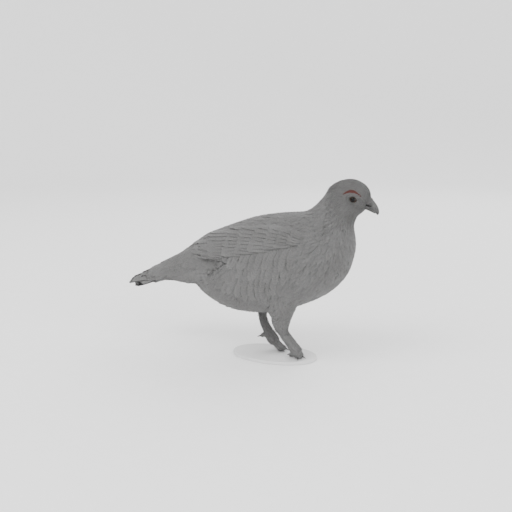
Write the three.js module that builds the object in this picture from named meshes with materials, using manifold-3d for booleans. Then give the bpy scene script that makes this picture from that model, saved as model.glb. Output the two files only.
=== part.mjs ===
// A life-size still model of a rock ptarmigan in grey autumn plumage, stepping forward.
// Millimetres, +Z up, +X towards the bill, +Y towards the bird's left, the floor at z = 0,
// and the origin on the floor under the middle of the bird's length.
import * as THREE from "three";
import { mergeVertices } from "three/addons/utils/BufferGeometryUtils.js";
import Module from "manifold-3d";

const wasm = await Module();
wasm.setup();

const GAP = 0.3; // clearance between nodes that touch
const VANE_EDGE = 0.55; // thickness of a feather's vane at its edges
const SHAFT_THICK = 0.95; // and over its shaft
const CUT_DEEP = 5; // how deep a feather's cut goes into what lies under it
const RIGHT = -1;
const LEFT = 1;
const SIDES = [
  { name: "right", side: RIGHT },
  { name: "left", side: LEFT },
];

// ---------------------------------------------------------------- colours
const PLUMAGE = new THREE.MeshStandardMaterial({ color: 0x84837f, roughness: 0.9 });
const PALE_DOWN = new THREE.MeshStandardMaterial({ color: 0xa3a19b, roughness: 0.95 });
const TAIL_DARK = new THREE.MeshStandardMaterial({ color: 0x5a5a5a, roughness: 0.8 });
const HORN = new THREE.MeshStandardMaterial({ color: 0x35353a, roughness: 0.45 });
const EYE = new THREE.MeshStandardMaterial({ color: 0x201712, roughness: 0.1 });
const COMB = new THREE.MeshStandardMaterial({ color: 0x8a4a42, roughness: 0.7 });

// ---------------------------------------------------------------- the body's outline
// Stations from the face to the root of the tail: the back's and the belly's points (x, z)
// in the middle plane, and the half-width there.
const BODY = [
  [147, 192, 141.5, 179.5, 6.5],
  [144.6, 200, 138, 175.5, 11.5],
  [138.3, 206.6, 133, 171.5, 15],
  [127, 211, 130.5, 168.3, 17],
  [114, 209.3, 129.4, 164.2, 17.2],
  [102.4, 202.8, 127.8, 158.5, 17],
  [95.4, 192.4, 129, 150.5, 18],
  [86.4, 182, 130.4, 140.5, 22.5],
  [73.5, 173.2, 129.4, 127, 31.5],
  [54, 170.8, 121.3, 103.2, 44.5],
  [33, 168.2, 103.6, 83.2, 51.5],
  [10, 163.2, 77, 68.2, 53.5],
  [-12, 155.7, 46, 56, 52],
  [-33, 147.6, 15, 51.6, 47],
  [-50, 140.3, -13, 53.4, 39.5],
  [-64, 130.8, -32.5, 59.6, 31.5],
  [-76, 122, -45, 68.8, 25],
  [-86, 115.6, -49.5, 80.5, 20],
];
const HEAD_END = 5; // station where the head meets the neck
const NECK_END = 8; // station where the neck meets the torso
const TORSO_END = BODY.length - 1;
const AROUND = 30; // facets round the body
const SQUARENESS = 2.15; // 2 is an ellipse
const PEAR = 0.07; // the belly is wider than the back by this share

/** The row of a table at a place counted in rows, on a uniform Catmull-Rom spline. */
function along(table, place) {
  const last = table.length - 1;
  const i = Math.min(Math.max(Math.floor(place), 0), last - 1);
  const f = place - i;
  const row = (k) => table[Math.min(Math.max(k, 0), last)];
  return table[0].map((_, c) => {
    const [a, b, d, e] = [row(i - 1)[c], row(i)[c], row(i + 1)[c], row(i + 2)[c]];
    const [m0, m1] = [(d - a) / 2, (e - b) / 2];
    return b + f * (m0 + f * (3 * (d - b) - 2 * m0 - m1 + f * (2 * (b - d) + m0 + m1)));
  });
}

/** A superellipse's cosine or sine. */
const squared = (v) => Math.sign(v) * Math.abs(v) ** (2 / SQUARENESS);

/** A point of the body's section at a station: angle 0 is the back, 90 degrees the left side. */
function section(place, angle, share = 1, grow = 0) {
  const [bx, bz, vx, vz, half] = along(BODY, place);
  const tall = Math.hypot(bx - vx, bz - vz) / 2;
  const c = squared(Math.cos(angle)) * share * (1 + grow / tall);
  const s = squared(Math.sin(angle)) * share * (1 - PEAR * Math.cos(angle)) * (half + grow);
  return new THREE.Vector3((bx + vx) / 2 + (c * (bx - vx)) / 2, s, (bz + vz) / 2 + (c * (bz - vz)) / 2);
}

/** The point of the skin at a station and angle, lifted off it along its normal. */
function skin(place, angle, lift = 0) {
  const step = 0.02;
  const p = section(place, angle);
  const forward = section(place + step, angle).sub(section(place - step, angle));
  const round = section(place, angle + step).sub(section(place, angle - step));
  const normal = round.cross(forward).normalize();
  return { point: p.addScaledVector(normal, lift), normal };
}

/** Station and angle of the skin's point that a side view shows at (x, z), on the left side. */
function fromSide(x, z) {
  let [low, high] = [HEAD_END, TORSO_END];
  for (let k = 0; k < 30; k++) {
    const middle = (low + high) / 2;
    const [bx, bz, vx, vz] = along(BODY, middle);
    if ((vx - bx) * (z - bz) - (vz - bz) * (x - bx) > 0) high = middle;
    else low = middle;
  }
  const [bx, bz, vx, vz] = along(BODY, low);
  const [hx, hz] = [(bx - vx) / 2, (bz - vz) / 2];
  const f = ((x - (bx + vx) / 2) * hx + (z - (bz + vz) / 2) * hz) / (hx * hx + hz * hz);
  const cos = Math.sign(f) * Math.min(Math.abs(f), 0.995) ** (SQUARENESS / 2);
  return { place: low, angle: Math.acos(cos) };
}

// ---------------------------------------------------------------- solids
/** A geometry's closed surface as a solid. */
function solid(geometry) {
  const bare = geometry.clone();
  bare.deleteAttribute("normal");
  bare.deleteAttribute("uv");
  const merged = mergeVertices(bare, 1e-4);
  const made = new wasm.Manifold(
    new wasm.Mesh({
      numProp: 3,
      vertProperties: merged.attributes.position.array,
      triVerts: new Uint32Array(merged.index.array),
    }),
  );
  return made.volume() < 0 ? solid(turned(merged)) : made;
}

/** The same geometry with its faces the other way round. */
function turned(geometry) {
  const index = geometry.index.array;
  for (let i = 0; i < index.length; i += 3) [index[i + 1], index[i + 2]] = [index[i + 2], index[i + 1]];
  return geometry;
}

/** The largest closed body of a solid, as a mesh. */
function node(name, made, material) {
  const body = made.decompose().reduce((a, b) => (b.volume() > a.volume() ? b : a));
  const { vertProperties, triVerts } = body.getMesh();
  const geometry = new THREE.BufferGeometry();
  geometry.setAttribute("position", new THREE.BufferAttribute(vertProperties, 3));
  geometry.setIndex(new THREE.BufferAttribute(triVerts, 1));
  geometry.computeVertexNormals();
  const mesh = new THREE.Mesh(geometry, material);
  mesh.name = name;
  return mesh;
}

/** A cylinder's vertices moved by where(share along, angle, share of the radius). */
function tube(round, long, where) {
  const geometry = new THREE.CylinderGeometry(1, 1, 1, round, long);
  const p = geometry.attributes.position;
  for (let i = 0; i < p.count; i++) {
    const angle = Math.atan2(p.getZ(i), p.getX(i));
    const at = where(0.5 - p.getY(i), angle, Math.min(1, Math.hypot(p.getX(i), p.getZ(i))));
    p.setXYZ(i, at.x, at.y, at.z);
  }
  return solid(geometry);
}

/** The body between two stations, its ends flat, grown by a margin. */
function bodyPart(from, to, long, grow = 0, shift = 0) {
  const [sx, sz, tx, tz] = along(BODY, from);
  const ahead = new THREE.Vector3(tz - sz, 0, sx - tx).normalize().multiplyScalar(shift);
  return tube(AROUND, long, (u, angle, share) => {
    const at = section(from + (to - from) * u, angle, share, grow);
    return u < 1e-6 ? at.add(ahead) : at;
  });
}

/** A closed sheet of two like grids, split into triangles alike, with a rim all round. */
function sheet(across, long, pointAt) {
  const position = [];
  const index = [];
  const at = (i, j, face) => (face * (long + 1) + j) * (across + 1) + i;
  for (const face of [0, 1])
    for (let j = 0; j <= long; j++)
      for (let i = 0; i <= across; i++) position.push(...pointAt(i / across, j / long, face).toArray());
  const quad = (a, b, c, d) => index.push(a, b, c, a, c, d);
  for (let j = 0; j < long; j++)
    for (let i = 0; i < across; i++) {
      quad(at(i, j, 1), at(i + 1, j, 1), at(i + 1, j + 1, 1), at(i, j + 1, 1));
      index.push(at(i, j, 0), at(i + 1, j + 1, 0), at(i + 1, j, 0));
      index.push(at(i, j, 0), at(i, j + 1, 0), at(i + 1, j + 1, 0));
    }
  for (let i = 0; i < across; i++) {
    quad(at(i, 0, 0), at(i + 1, 0, 0), at(i + 1, 0, 1), at(i, 0, 1));
    quad(at(i + 1, long, 0), at(i, long, 0), at(i, long, 1), at(i + 1, long, 1));
  }
  for (let j = 0; j < long; j++) {
    quad(at(0, j + 1, 0), at(0, j, 0), at(0, j, 1), at(0, j + 1, 1));
    quad(at(across, j, 0), at(across, j + 1, 0), at(across, j + 1, 1), at(across, j, 1));
  }
  const geometry = new THREE.BufferGeometry();
  geometry.setAttribute("position", new THREE.Float32BufferAttribute(position, 3));
  geometry.setIndex(index);
  return solid(geometry);
}

/**
 * A feather's vane on a surface, from its sunk root to its free, rounded tip. The surface takes
 * two coordinates and a lift in millimetres. Half is the step from the shaft to the upper edge in
 * those coordinates; low and high are the lifts of root and tip; tilt lifts that edge over its
 * neighbour. A vane that cuts is deeper and a little wider than the feather itself.
 */
function vane(surface, root, tip, half, { low, high, tilt = 0, long = 3, blunt = 0.5, cut = false }) {
  const margin = cut ? GAP : 0;
  const wider = 1 + margin / Math.max(4, Math.hypot(...half));
  return sheet(2, long, (u, v, face) => {
    const s = v ** 0.85;
    const across = 1 - 2 * u;
    const wide = (s < 0.5 ? 0.6 + 0.8 * s : 1 - (1 - blunt) * (2 * s - 1) ** 3) * wider;
    const at = (cut ? -0.02 + 1.03 * s : s) - across * across * 0.06 * s;
    const a = root[0] + (tip[0] - root[0]) * at + half[0] * across * wide;
    const b = root[1] + (tip[1] - root[1]) * at + half[1] * across * wide;
    const thick = VANE_EDGE + (SHAFT_THICK - VANE_EDGE) * (1 - Math.abs(across)) * (1 - 0.5 * s);
    const lift = low + (high - low) * s ** 0.5 + (tilt * across) / 2;
    return surface(a, b, face ? lift + margin : lift - (cut ? CUT_DEEP : thick));
  });
}

/** Vanes side by side in a tier, between the first and the last one's root and tip. */
function tier(surface, count, first, last, half, how) {
  return Array.from({ length: count }, (_, k) => {
    const f = count > 1 ? k / (count - 1) : 0.5;
    const [ra, rb, ta, tb] = first.map((value, c) => value + (last[c] - value) * f);
    return vane(surface, [ra, rb], [ta, tb], half, how);
  });
}

/** A limb through rows of x, y, z, half-depth (fore and aft) and half-width. */
function limb(rows, round, long) {
  const last = rows.length - 1;
  return tube(round, long, (u, angle, share) => {
    const [x, y, z, deep, wide] = along(rows, u * last);
    const axis = (place) => new THREE.Vector3(...along(rows, Math.min(last, Math.max(0, place))).slice(0, 3));
    const run = axis(u * last + 0.05).sub(axis(u * last - 0.05)).normalize();
    const side = new THREE.Vector3(0, 1, 0).addScaledVector(run, -run.y).normalize();
    const front = new THREE.Vector3().crossVectors(side, run);
    return new THREE.Vector3(x, y, z)
      .addScaledVector(front, Math.cos(angle) * share * deep)
      .addScaledVector(side, Math.sin(angle) * share * wide);
  });
}

/** A ball, stretched along the axes. */
function ball(at, radius, stretch = [1, 1, 1], round = 16) {
  const geometry = new THREE.SphereGeometry(radius, round, Math.round(round * 0.6));
  geometry.scale(...stretch);
  geometry.translate(...at);
  return solid(geometry);
}

const union = (pieces) => wasm.Manifold.union(pieces);

const bird = new THREE.Group();

// ---------------------------------------------------------------- eyes, lids and combs
const EYE_AT = [131.2, 13.1, 190.6]; // the left eyeball's centre
const EYE_RADIUS = 4.7;
const LID_RADIUS = 4.4;
const LID_THICK = 0.95;
const EYE_TURN = 0.12; // radians that each eye looks forward
const COMB_ARC = [119.5, 195.2, 139.5, 193.6]; // its rear and front ends, x and z
const COMB_RISE = 4.6; // how far its middle stands above that line
const COMB_HALF = 1.5;
const COMB_LIFT = 1.5;

/** The opening between the lids as a ring round the eye. */
function lid(side) {
  const geometry = new THREE.TorusGeometry(LID_RADIUS, LID_THICK, 5, 16);
  geometry.scale(1.12, 0.92, 1);
  geometry.rotateX(Math.PI / 2);
  geometry.rotateY(0.38);
  geometry.rotateZ(-EYE_TURN);
  geometry.translate(EYE_AT[0], EYE_AT[1] + EYE_RADIUS * 0.62, EYE_AT[2]);
  geometry.scale(1, side, 1);
  return solid(geometry);
}

/** Where the head's skin lies behind the point (x, z) of a side view, on the left. */
function headSkin(x, z, lift) {
  let best = { d: Infinity };
  for (let place = 0.5; place <= HEAD_END; place += 0.1)
    for (let angle = 0.3; angle < 2.4; angle += 0.1) {
      const p = section(place, angle);
      const d = Math.hypot(p.x - x, p.z - z);
      if (d < best.d) best = { d, place, angle };
    }
  const { point, normal } = skin(best.place, best.angle);
  const y = point.y - ((x - point.x) * normal.x + (z - point.z) * normal.z) / normal.y;
  return new THREE.Vector3(x, y, z).addScaledVector(normal, lift);
}

/** The fleshy comb over one eye, an arched ridge on the brow. */
function comb(side) {
  const [x0, z0, x1, z1] = COMB_ARC;
  return sheet(3, 8, (u, v, face) => {
    const across = (u - 0.5) * 2;
    const taper = Math.sin(Math.PI * (0.06 + 0.88 * v)) ** 0.6;
    const x = x0 + (x1 - x0) * v;
    const z = z0 + (z1 - z0) * v + COMB_RISE * Math.sin(Math.PI * v) + across * COMB_HALF * taper;
    const bump = 1 + 0.12 * Math.sin(v * 40) * (face ? 1 : 0);
    const high = face ? 0.5 + COMB_LIFT * taper * (1 - 0.6 * across * across) * bump : -1.5;
    const p = headSkin(x, z, high);
    return new THREE.Vector3(p.x, p.y * side, p.z);
  });
}

/** A ball at an eye's place. */
const eyeBall = (side, radius) => ball([EYE_AT[0], EYE_AT[1] * side, EYE_AT[2]], radius, [1, 1, 1], 14);
const sockets = SIDES.map(({ side }) => eyeBall(side, EYE_RADIUS + GAP * 1.6));

// ---------------------------------------------------------------- head and bill
const MOUTH_CORNER = [135.3, 181]; // x and z of the gape
const MOUTH_FRONT = [142.4, 181.4];
const MOUTH_SLIT = 0.7;
const CULMEN = [
  // x and z of the ridge, x and z of the cutting edge, half-width
  [147.3, 191.6, 142.7, 181.6, 6.4],
  [151.2, 187.8, 147.4, 179.9, 5.3],
  [154.5, 183.4, 151.2, 177.7, 3.9],
  [156.6, 178.6, 153.9, 175, 2.4],
  [156.7, 173.8, 155.4, 172.3, 0.9],
];
const GONYS = [
  [142.5, 180.9, 141.5, 178.7, 5.6],
  [147, 179.1, 146, 177, 4.5],
  [150.6, 176.9, 149.8, 175.4, 3.1],
  [152.7, 175.1, 152.4, 174.3, 1.5],
];
const NOSTRIL = [146.8, 5.3, 184]; // the left one's middle
const NOSTRIL_HALF = [2.6, 1.1, 0.8]; // and its half-sizes

/** Half of the bill: a dome from the ridge down to a flat face at the cutting edges. */
function mandible(rows, long) {
  return tube(14, long, (u, angle, share) => {
    const [rx, rz, ex, ez, half] = along(rows, u * (rows.length - 1));
    const high = Math.max(0, Math.cos(angle)) * share;
    return new THREE.Vector3(ex + (rx - ex) * high, Math.sin(angle) * share * half, ez + (rz - ez) * high);
  });
}

/** A slanted slot for the line of the mouth, cut from both cheeks. */
function mouthSlit() {
  const [dx, dz] = [MOUTH_FRONT[0] + 4 - MOUTH_CORNER[0], MOUTH_FRONT[1] - MOUTH_CORNER[1]];
  const geometry = new THREE.BoxGeometry(Math.hypot(dx, dz), 40, MOUTH_SLIT);
  geometry.rotateY(-Math.atan2(dz, dx));
  geometry.translate(MOUTH_CORNER[0] + dx / 2, 0, MOUTH_CORNER[1] + dz / 2);
  return solid(geometry).subtract(bodyPart(0, HEAD_END, 8, -1.2));
}

const headCore = bodyPart(0, HEAD_END, 11);
const headMade = union([headCore, ...SIDES.map(({ side }) => lid(side))])
  .subtract(union(sockets))
  .subtract(mouthSlit());
bird.add(node("head", headMade, PLUMAGE));
SIDES.forEach(({ name, side }) => {
  bird.add(node(`eye_${name}`, eyeBall(side, EYE_RADIUS), EYE));
  bird.add(node(`comb_${name}`, comb(side).subtract(bodyPart(0, HEAD_END, 11, GAP)), COMB));
});

const FACE = [12.5, -5.5]; // the way the front of the face looks, x and z
const beakFront = FACE.map((run) => (run * GAP) / Math.hypot(...FACE));
const [nx, ny, nz] = NOSTRIL;
const nostrils = SIDES.map(({ side }) => ball([nx, ny * side, nz], 1, NOSTRIL_HALF, 8));
const upperBill = mandible(CULMEN, 6)
  .translate([beakFront[0], 0, beakFront[1]])
  .subtract(union(nostrils));
bird.add(node("bill_upper", upperBill, HORN));
const lowerRows = GONYS.map(([rx, rz, ex, ez, half]) => [ex, ez, rx, rz, half]);
bird.add(node("bill_lower", mandible(lowerRows, 5).translate([beakFront[0], 0, beakFront[1]]), HORN));

// ---------------------------------------------------------------- neck and torso
bird.add(node("neck", bodyPart(HEAD_END, NECK_END, 6, 0, GAP), PLUMAGE));
const torsoCore = bodyPart(NECK_END, TORSO_END, 18, 0, GAP);
const torsoGrown = bodyPart(NECK_END - 0.6, TORSO_END + 0.035, 22, GAP);

/** The skin on one side of the body at (x, z) of a side view, with a lift. */
const flankSkin = (side) => (x, z, lift) => {
  const { place, angle } = fromSide(x, z);
  const { point } = skin(place, angle, lift);
  return new THREE.Vector3(point.x, point.y * side, point.z);
};

// The long feathers of the flank, in two tiers that hang down and back over the wing's edge:
// how many, then the root's and the tip's x and z for the first and for the last of them.
const FLANK = [
  { count: 6, first: [82, 126, 66, 98], last: [14, 136, -9, 119] },
  { count: 6, first: [74, 106, 52, 82], last: [4, 116, -30, 95] },
];
const FLANK_HALF = [-6.5, -3.4]; // from a feather's shaft to its rear edge
const FLANK_LIFT = { low: -1.6, high: 2.2, tilt: 1.2 };

/** The flank's feathers on one side, or the cuts that they make in what lies under them. */
const flankTier = (side, { count, first, last }, cut) =>
  tier(flankSkin(side), count, first, last, FLANK_HALF, { ...FLANK_LIFT, cut });
const flanks = SIDES.flatMap(({ side }) => FLANK.flatMap((row) => flankTier(side, row, false)));
bird.add(node("torso", union([torsoCore, ...flanks]), PLUMAGE));

// ---------------------------------------------------------------- tail
// The folded tail's roof from root to tip: x, the ridge's z, the half-width, the right and left
// edges' z. Its right half lies a little higher than its left one.
const TAIL = [
  [-66, 126.5, 27, 86, 84],
  [-90, 113.2, 22, 85, 82],
  [-110, 102.2, 19.5, 84.6, 79],
  [-130, 91.4, 17, 82.6, 73.5],
  [-148, 82.6, 14, 78.4, 67.5],
  [-158.5, 77.6, 8, 75, 65],
];
const TAIL_ROOT = 0.12; // share of the table where the tail's feathers start, inside the torso
const TAIL_CORE = 0.3; // and where the solid root that holds them ends
const COVERT_TIPS = [0.46, 0.66, 0.86]; // where each tier of the upper coverts ends
const LAYER = 1.55; // from one layer of the tail to the next one down
const VENT_END = 0.78; // where the lower coverts end
const VENT_SPAN = 0.56; // their share of the tail's width
const VENT_DEEP = 4.9; // how far they stay below the roof of the tail feathers

/** A point of the tail's roof: along it, across it from the right edge (-1) to the left (1). */
function roof(share, across, deep) {
  const [x, top, half, right, left] = along(TAIL, share * (TAIL.length - 1));
  const edge = across < 0 ? right : left;
  const slope = Math.atan2((top - edge) * 1.4 * Math.abs(across) ** 0.5, half);
  const y = half * across - Math.sign(across) * Math.sin(slope) * deep;
  return new THREE.Vector3(x, y, top - (top - edge) * Math.abs(across) ** 1.5 - Math.cos(slope) * deep);
}

/** How deep a layer lies: each one comes up to the roof behind the tips of those above it. */
function layerDepth(layer, share) {
  const over = COVERT_TIPS.slice(0, layer);
  const hidden = over.map((tip) => 1 - Math.min(1, Math.max(0, (share - tip - 0.02) / 0.14)));
  return 0.9 + LAYER * hidden.reduce((sum, h) => sum + h, 0);
}
const QUILLS = COVERT_TIPS.length; // the tail feathers are the lowest layer
const inLayer = (layer) => (share, across, lift) => roof(share, across, layerDepth(layer, share) - lift);

/** The underside between the tail's edges, where the lower coverts lie. */
function vent(share, across, lift) {
  const [x, , half, right, left] = along(TAIL, share * (TAIL.length - 1));
  const between = right + ((left - right) * (across + 1)) / 2 + 1.5 - 2 * (1 - across * across);
  const clear = roof(share, across * VENT_SPAN, layerDepth(QUILLS, share) + VENT_DEEP).z;
  return new THREE.Vector3(x, half * VENT_SPAN * across, Math.min(between, clear) - lift);
}

/** A shell across the tail, from the torso to a share of its length, between two surfaces. */
const tailShell = (end, span, upper, lower) =>
  sheet(8, 4, (u, v, face) => (face ? upper : lower)(v * end, (1 - 2 * u) * span));

/** Feathers on both sides of the tail's ridge: how far across the first and last ones lie. */
const pairs = (surface, { count, inner, outer, half, to, shorter = 0 }, how) =>
  [RIGHT, LEFT].flatMap((side) =>
    tier(
      surface,
      count,
      [TAIL_ROOT, inner * side, to, inner * side],
      [TAIL_ROOT, outer * side, to - shorter, outer * side],
      [0, half * side],
      how,
    ),
  );

const COVERTS = [
  { count: 3, inner: 0.12, outer: 0.84, half: 0.22 },
  { count: 3, inner: 0.16, outer: 0.86, half: 0.22 },
  { count: 2, inner: 0.24, outer: 0.72, half: 0.28 },
];
const coverts = COVERTS.flatMap((row, k) =>
  pairs(inLayer(k), { ...row, to: COVERT_TIPS[k] }, { low: 0, high: 0.1, tilt: 0.5 }),
);
const covertCore = tailShell(
  TAIL_CORE,
  0.95,
  (share, across) => inLayer(0)(share, across, 0.6),
  (share, across) => inLayer(2)(share, across, -0.8),
);
bird.add(node("tail_coverts", union([covertCore, ...coverts]).subtract(torsoGrown), PLUMAGE));

const quills = pairs(
  inLayer(QUILLS),
  { count: 7, inner: 0.105, outer: 0.9, half: 0.085, to: 1, shorter: 0.035 },
  { low: -1.1, high: -0.5, tilt: 1.3, long: 5 },
);
const quillCore = tailShell(
  TAIL_CORE - 0.02,
  0.97,
  (share, across) => inLayer(QUILLS)(share, across, -0.1),
  (share, across) => inLayer(QUILLS)(share, across, -2.4),
);
bird.add(node("tail", union([quillCore, ...quills]).subtract(torsoGrown), TAIL_DARK));

/** The top of the lower coverts' root, under the tail feathers. */
const ventTop = (share, across) => roof(share, across * VENT_SPAN, layerDepth(QUILLS, share) + VENT_DEEP);
const ventCore = tailShell(0.55, 1, ventTop, (share, across) => {
  const upper = ventTop(share, across);
  const lower = vent(share, across, 0);
  return lower.z < upper.z - 0.8 ? lower : new THREE.Vector3(upper.x, upper.y, upper.z - 0.8);
});
const VENTS = [
  { count: 3, across: 0.66, from: 0.14, to: 0.56, half: 0.4, low: -0.8, high: 1.4 },
  { count: 2, across: 0.42, from: 0.36, to: VENT_END, half: 0.46, low: -1.2, high: 0.3 },
];
const vents = VENTS.flatMap(({ count, across, from, to, half, ...lifts }) => {
  const [first, last] = [-across, across].map((at) => [from, at, to, at]);
  return tier(vent, count, first, last, [0, half], { ...lifts, tilt: 0.8 });
});
bird.add(node("undertail", union([ventCore, ...vents]).subtract(torsoGrown), PLUMAGE));

// ---------------------------------------------------------------- folded wings
// The bed of a folded wing in a side view: its upper and lower edges, x and z, front to tip.
const WING = [
  [84, 149, 85, 142],
  [70, 156, 74, 138],
  [45, 159, 48, 136],
  [18, 155, 20, 134],
  [-8, 147, -2, 124],
  [-30, 138, -24, 114],
  [-48, 130, -38, 112],
];
const WING_BED = 0.7;
// Its tiers from the shoulder to the tip, as for the flank, the upper feather first.
const WING_TIERS = [
  { count: 2, first: [84, 149, 56, 157], last: [82, 142, 52, 144], half: 5.6 },
  { count: 3, first: [62, 156, 28, 158], last: [58, 142, 26, 138], half: 5.6 },
  { count: 3, first: [38, 157, 2, 152], last: [34, 140, 0, 134], half: 5.6 },
  { count: 4, first: [12, 153, -30, 143], last: [8, 132, -24, 120], half: 4.8 },
  { count: 2, first: [2, 123, -38, 111], last: [2, 118, -32, 107], half: 3 },
  { count: 3, first: [-14, 146, -66, 129], last: [-10, 128, -48, 114], half: 4.8 },
];
const WING_LIFT = { low: -1.4, high: 2.9, tilt: 1.2 };

/** The thin bed that one wing's feathers are rooted in. */
const wingBed = (side) =>
  sheet(4, 9, (u, v, face) => {
    const [tx, tz, lx, lz] = along(WING, v * (WING.length - 1));
    return flankSkin(side)(tx + (lx - tx) * u, tz + (lz - tz) * u, face ? WING_BED : -2);
  });

/** One wing's feathers, each lying with its lower edge over the next one down. */
const wingVanes = (side) =>
  WING_TIERS.flatMap(({ count, first, last, half }) => {
    const run = new THREE.Vector2(first[2] - first[0], first[3] - first[1]).normalize();
    return tier(flankSkin(side), count, first, last, [-run.y * half, run.x * half], WING_LIFT);
  });

SIDES.forEach(({ name, side }) => {
  const wing = union([wingBed(side), ...wingVanes(side)])
    .subtract(union(flankTier(side, FLANK[0], true)))
    .subtract(torsoGrown);
  bird.add(node(`wing_${name}`, wing, PLUMAGE));
});

// ---------------------------------------------------------------- legs
// Thigh, shank and instep as rows of x, y, z, half-depth and half-width; the tips of the three
// front toes, inner first, and of the hind toe. The toes leave the instep's last row.
const SOLE = 1.2; // the soles' height in these coordinates
const LEG = {
  right: {
    thigh: [
      [54, -27, 92, 24, 18],
      [52.2, -24.5, 68, 18.5, 14],
      [51.4, -20, 54, 13, 10.5],
      [50.2, -17.3, 44, 9.8, 8.8],
      [50.6, -14.8, 33.5, 7, 6.8],
    ],
    shank: [
      [50, -15.2, 37, 5.4, 5.4],
      [53, -14, 30, 5.8, 5.6],
      [57.4, -12.4, 23.5, 5.8, 5.8],
      [61.6, -11.2, 17.5, 6, 6],
    ],
    instep: [
      [60.1, -11.6, 19.6, 5.4, 5.8],
      [65, -10.6, 12.6, 6.4, 7.2],
      [69, -10, 7.4, 6.2, 8],
    ],
    heel: [63, -10.2, 5.4],
    toes: [
      [71.5, -4, 4],
      [73.8, -9.8, 4],
      [70.5, -15.6, 4],
    ],
    back: [58.2, -8.2, 4],
  },
  left: {
    thigh: [
      [30, 27, 92, 22, 18],
      [22, 24, 70, 14, 12.5],
      [15.4, 20, 55, 8, 8],
      [13, 17.8, 46, 6, 6],
    ],
    shank: [
      [12.6, 18, 49, 4.8, 4.8],
      [14.6, 15.6, 38, 5.1, 5],
      [19.2, 13.2, 29, 5.2, 5.2],
      [24, 12, 22.5, 5.6, 5.8],
    ],
    instep: [
      [22.6, 12.3, 24.4, 5, 5.4],
      [27.4, 11, 17, 7.4, 7.6],
      [33.6, 10.4, 10.8, 5.4, 8],
    ],
    heel: [21.6, 11.8, 21.6],
    toes: [
      [43.4, 5.2, 3.8],
      [46, 10.8, 3.8],
      [37.5, 17.6, 4.4],
    ],
    back: [14.4, 10.6, 16.4],
  },
};
const TOE_ROOT = 4.9;
const TOE_TIP = 3.4;
const CLAW_LONG = 4.5;
const CLAW_ROOT = 1.4;
const BASE = { x: 36, long: 104, wide: 64, thick: 4, round: 48 };

/** A feathered toe from its root out and down to a level tip. */
function toe(root, tip, thick = 1) {
  const rows = [0, 0.3, 0.6, 0.85, 1].map((s) => {
    const radius = (TOE_ROOT + (TOE_TIP - TOE_ROOT) * s) * thick * (s === 1 ? 0.7 : 1);
    return [
      root[0] + (tip[0] - root[0]) * s,
      root[1] + (tip[1] - root[1]) * s,
      tip[2] + (root[2] - tip[2]) * (1 - s) ** 1.6,
      radius * 0.9,
      radius,
    ];
  });
  return limb(rows, 8, 4);
}

/** A curved claw that starts just past a toe's tip and drops to its own point. */
function claw(root, tip, drop) {
  const run = new THREE.Vector2(tip[0] - root[0], tip[1] - root[1]).normalize();
  const rows = [0, 0.35, 0.7, 1].map((s) => {
    const out = GAP + CLAW_LONG * s;
    const radius = CLAW_ROOT * (1 - 0.85 * s);
    return [tip[0] + run.x * out, tip[1] + run.y * out, tip[2] - drop * s ** 1.6, radius, radius * 0.8];
  });
  return limb(rows, 6, 3);
}

const under = (() => {
  const geometry = new THREE.BoxGeometry(400, 200, 20);
  geometry.translate(0, 0, SOLE - 10);
  return solid(geometry);
})();

SIDES.forEach(({ name }) => {
  const leg = LEG[name];
  const from = new THREE.Vector3(...leg.shank[0].slice(0, 3));
  const next = new THREE.Vector3(...leg.shank[1].slice(0, 3));
  const run = next.clone().sub(from).normalize();
  const shank = limb(leg.shank, 12, 4);
  const grown = limb(leg.shank.map(([x, y, z, deep, wide]) => [x, y, z, deep + GAP, wide + GAP]), 12, 4);
  const thigh = limb(leg.thigh, 18, 6).subtract(grown).subtract(torsoGrown);
  bird.add(node(`thigh_${name}`, thigh, PLUMAGE));
  bird.add(node(`shank_${name}`, shank.subtract(torsoGrown), PALE_DOWN));
  const root = leg.instep[2].slice(0, 3);
  const toes = leg.toes.map((tip) => toe(root, tip));
  const back = toe(leg.heel, leg.back, 0.72);
  const foot = union([limb(leg.instep, 10, 3), ...toes, back]).subtract(under).subtract(grown);
  bird.add(node(`foot_${name}`, foot, PALE_DOWN));
  [...leg.toes, leg.back].forEach((tip, k) => {
    const made = claw(k < 3 ? root : leg.heel, tip, k < 3 ? tip[2] - SOLE - 0.5 : 2).subtract(under);
    bird.add(node(`claw_${name}_${k + 1}`, made, HORN));
  });
});

// ---------------------------------------------------------------- base
/** The plain base under the feet, which keeps the striding bird from falling over. */
function base() {
  const geometry = new THREE.CylinderGeometry(1, 1, BASE.thick, BASE.round);
  geometry.rotateX(Math.PI / 2);
  geometry.scale(BASE.long / 2, BASE.wide / 2, 1);
  geometry.translate(BASE.x, 0, SOLE - GAP - BASE.thick / 2);
  return solid(geometry);
}
bird.add(node("stand_base", base(), PALE_DOWN));
bird.position.set(1.5, 0, BASE.thick + GAP - SOLE);

export default bird;
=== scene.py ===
"""A rock ptarmigan in grey autumn plumage: a life-size still model on a thin, plain base.

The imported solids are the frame. This script dresses them: one skin under a coat of separate
feathers, longer vanes for the wings, the flanks and the tail, bare parts for the eyes, lids,
combs, bill and claws, and a plain studio. Tables are in millimetres in the bird's own axes:
+X towards the bill, +Y to its left and +Z up, with the floor just below z = 0.
"""

import logging
import math
from dataclasses import dataclass, field
from enum import Enum
from typing import Callable, Sequence

import bmesh
import bpy
import numpy as np
from bmesh.types import BMesh
from bpy.types import Material, Mesh, Node, NodeSocket, Object
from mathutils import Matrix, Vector, noise
from mathutils.bvhtree import BVHTree
from mathutils.kdtree import KDTree
from numpy.random import Generator

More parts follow.
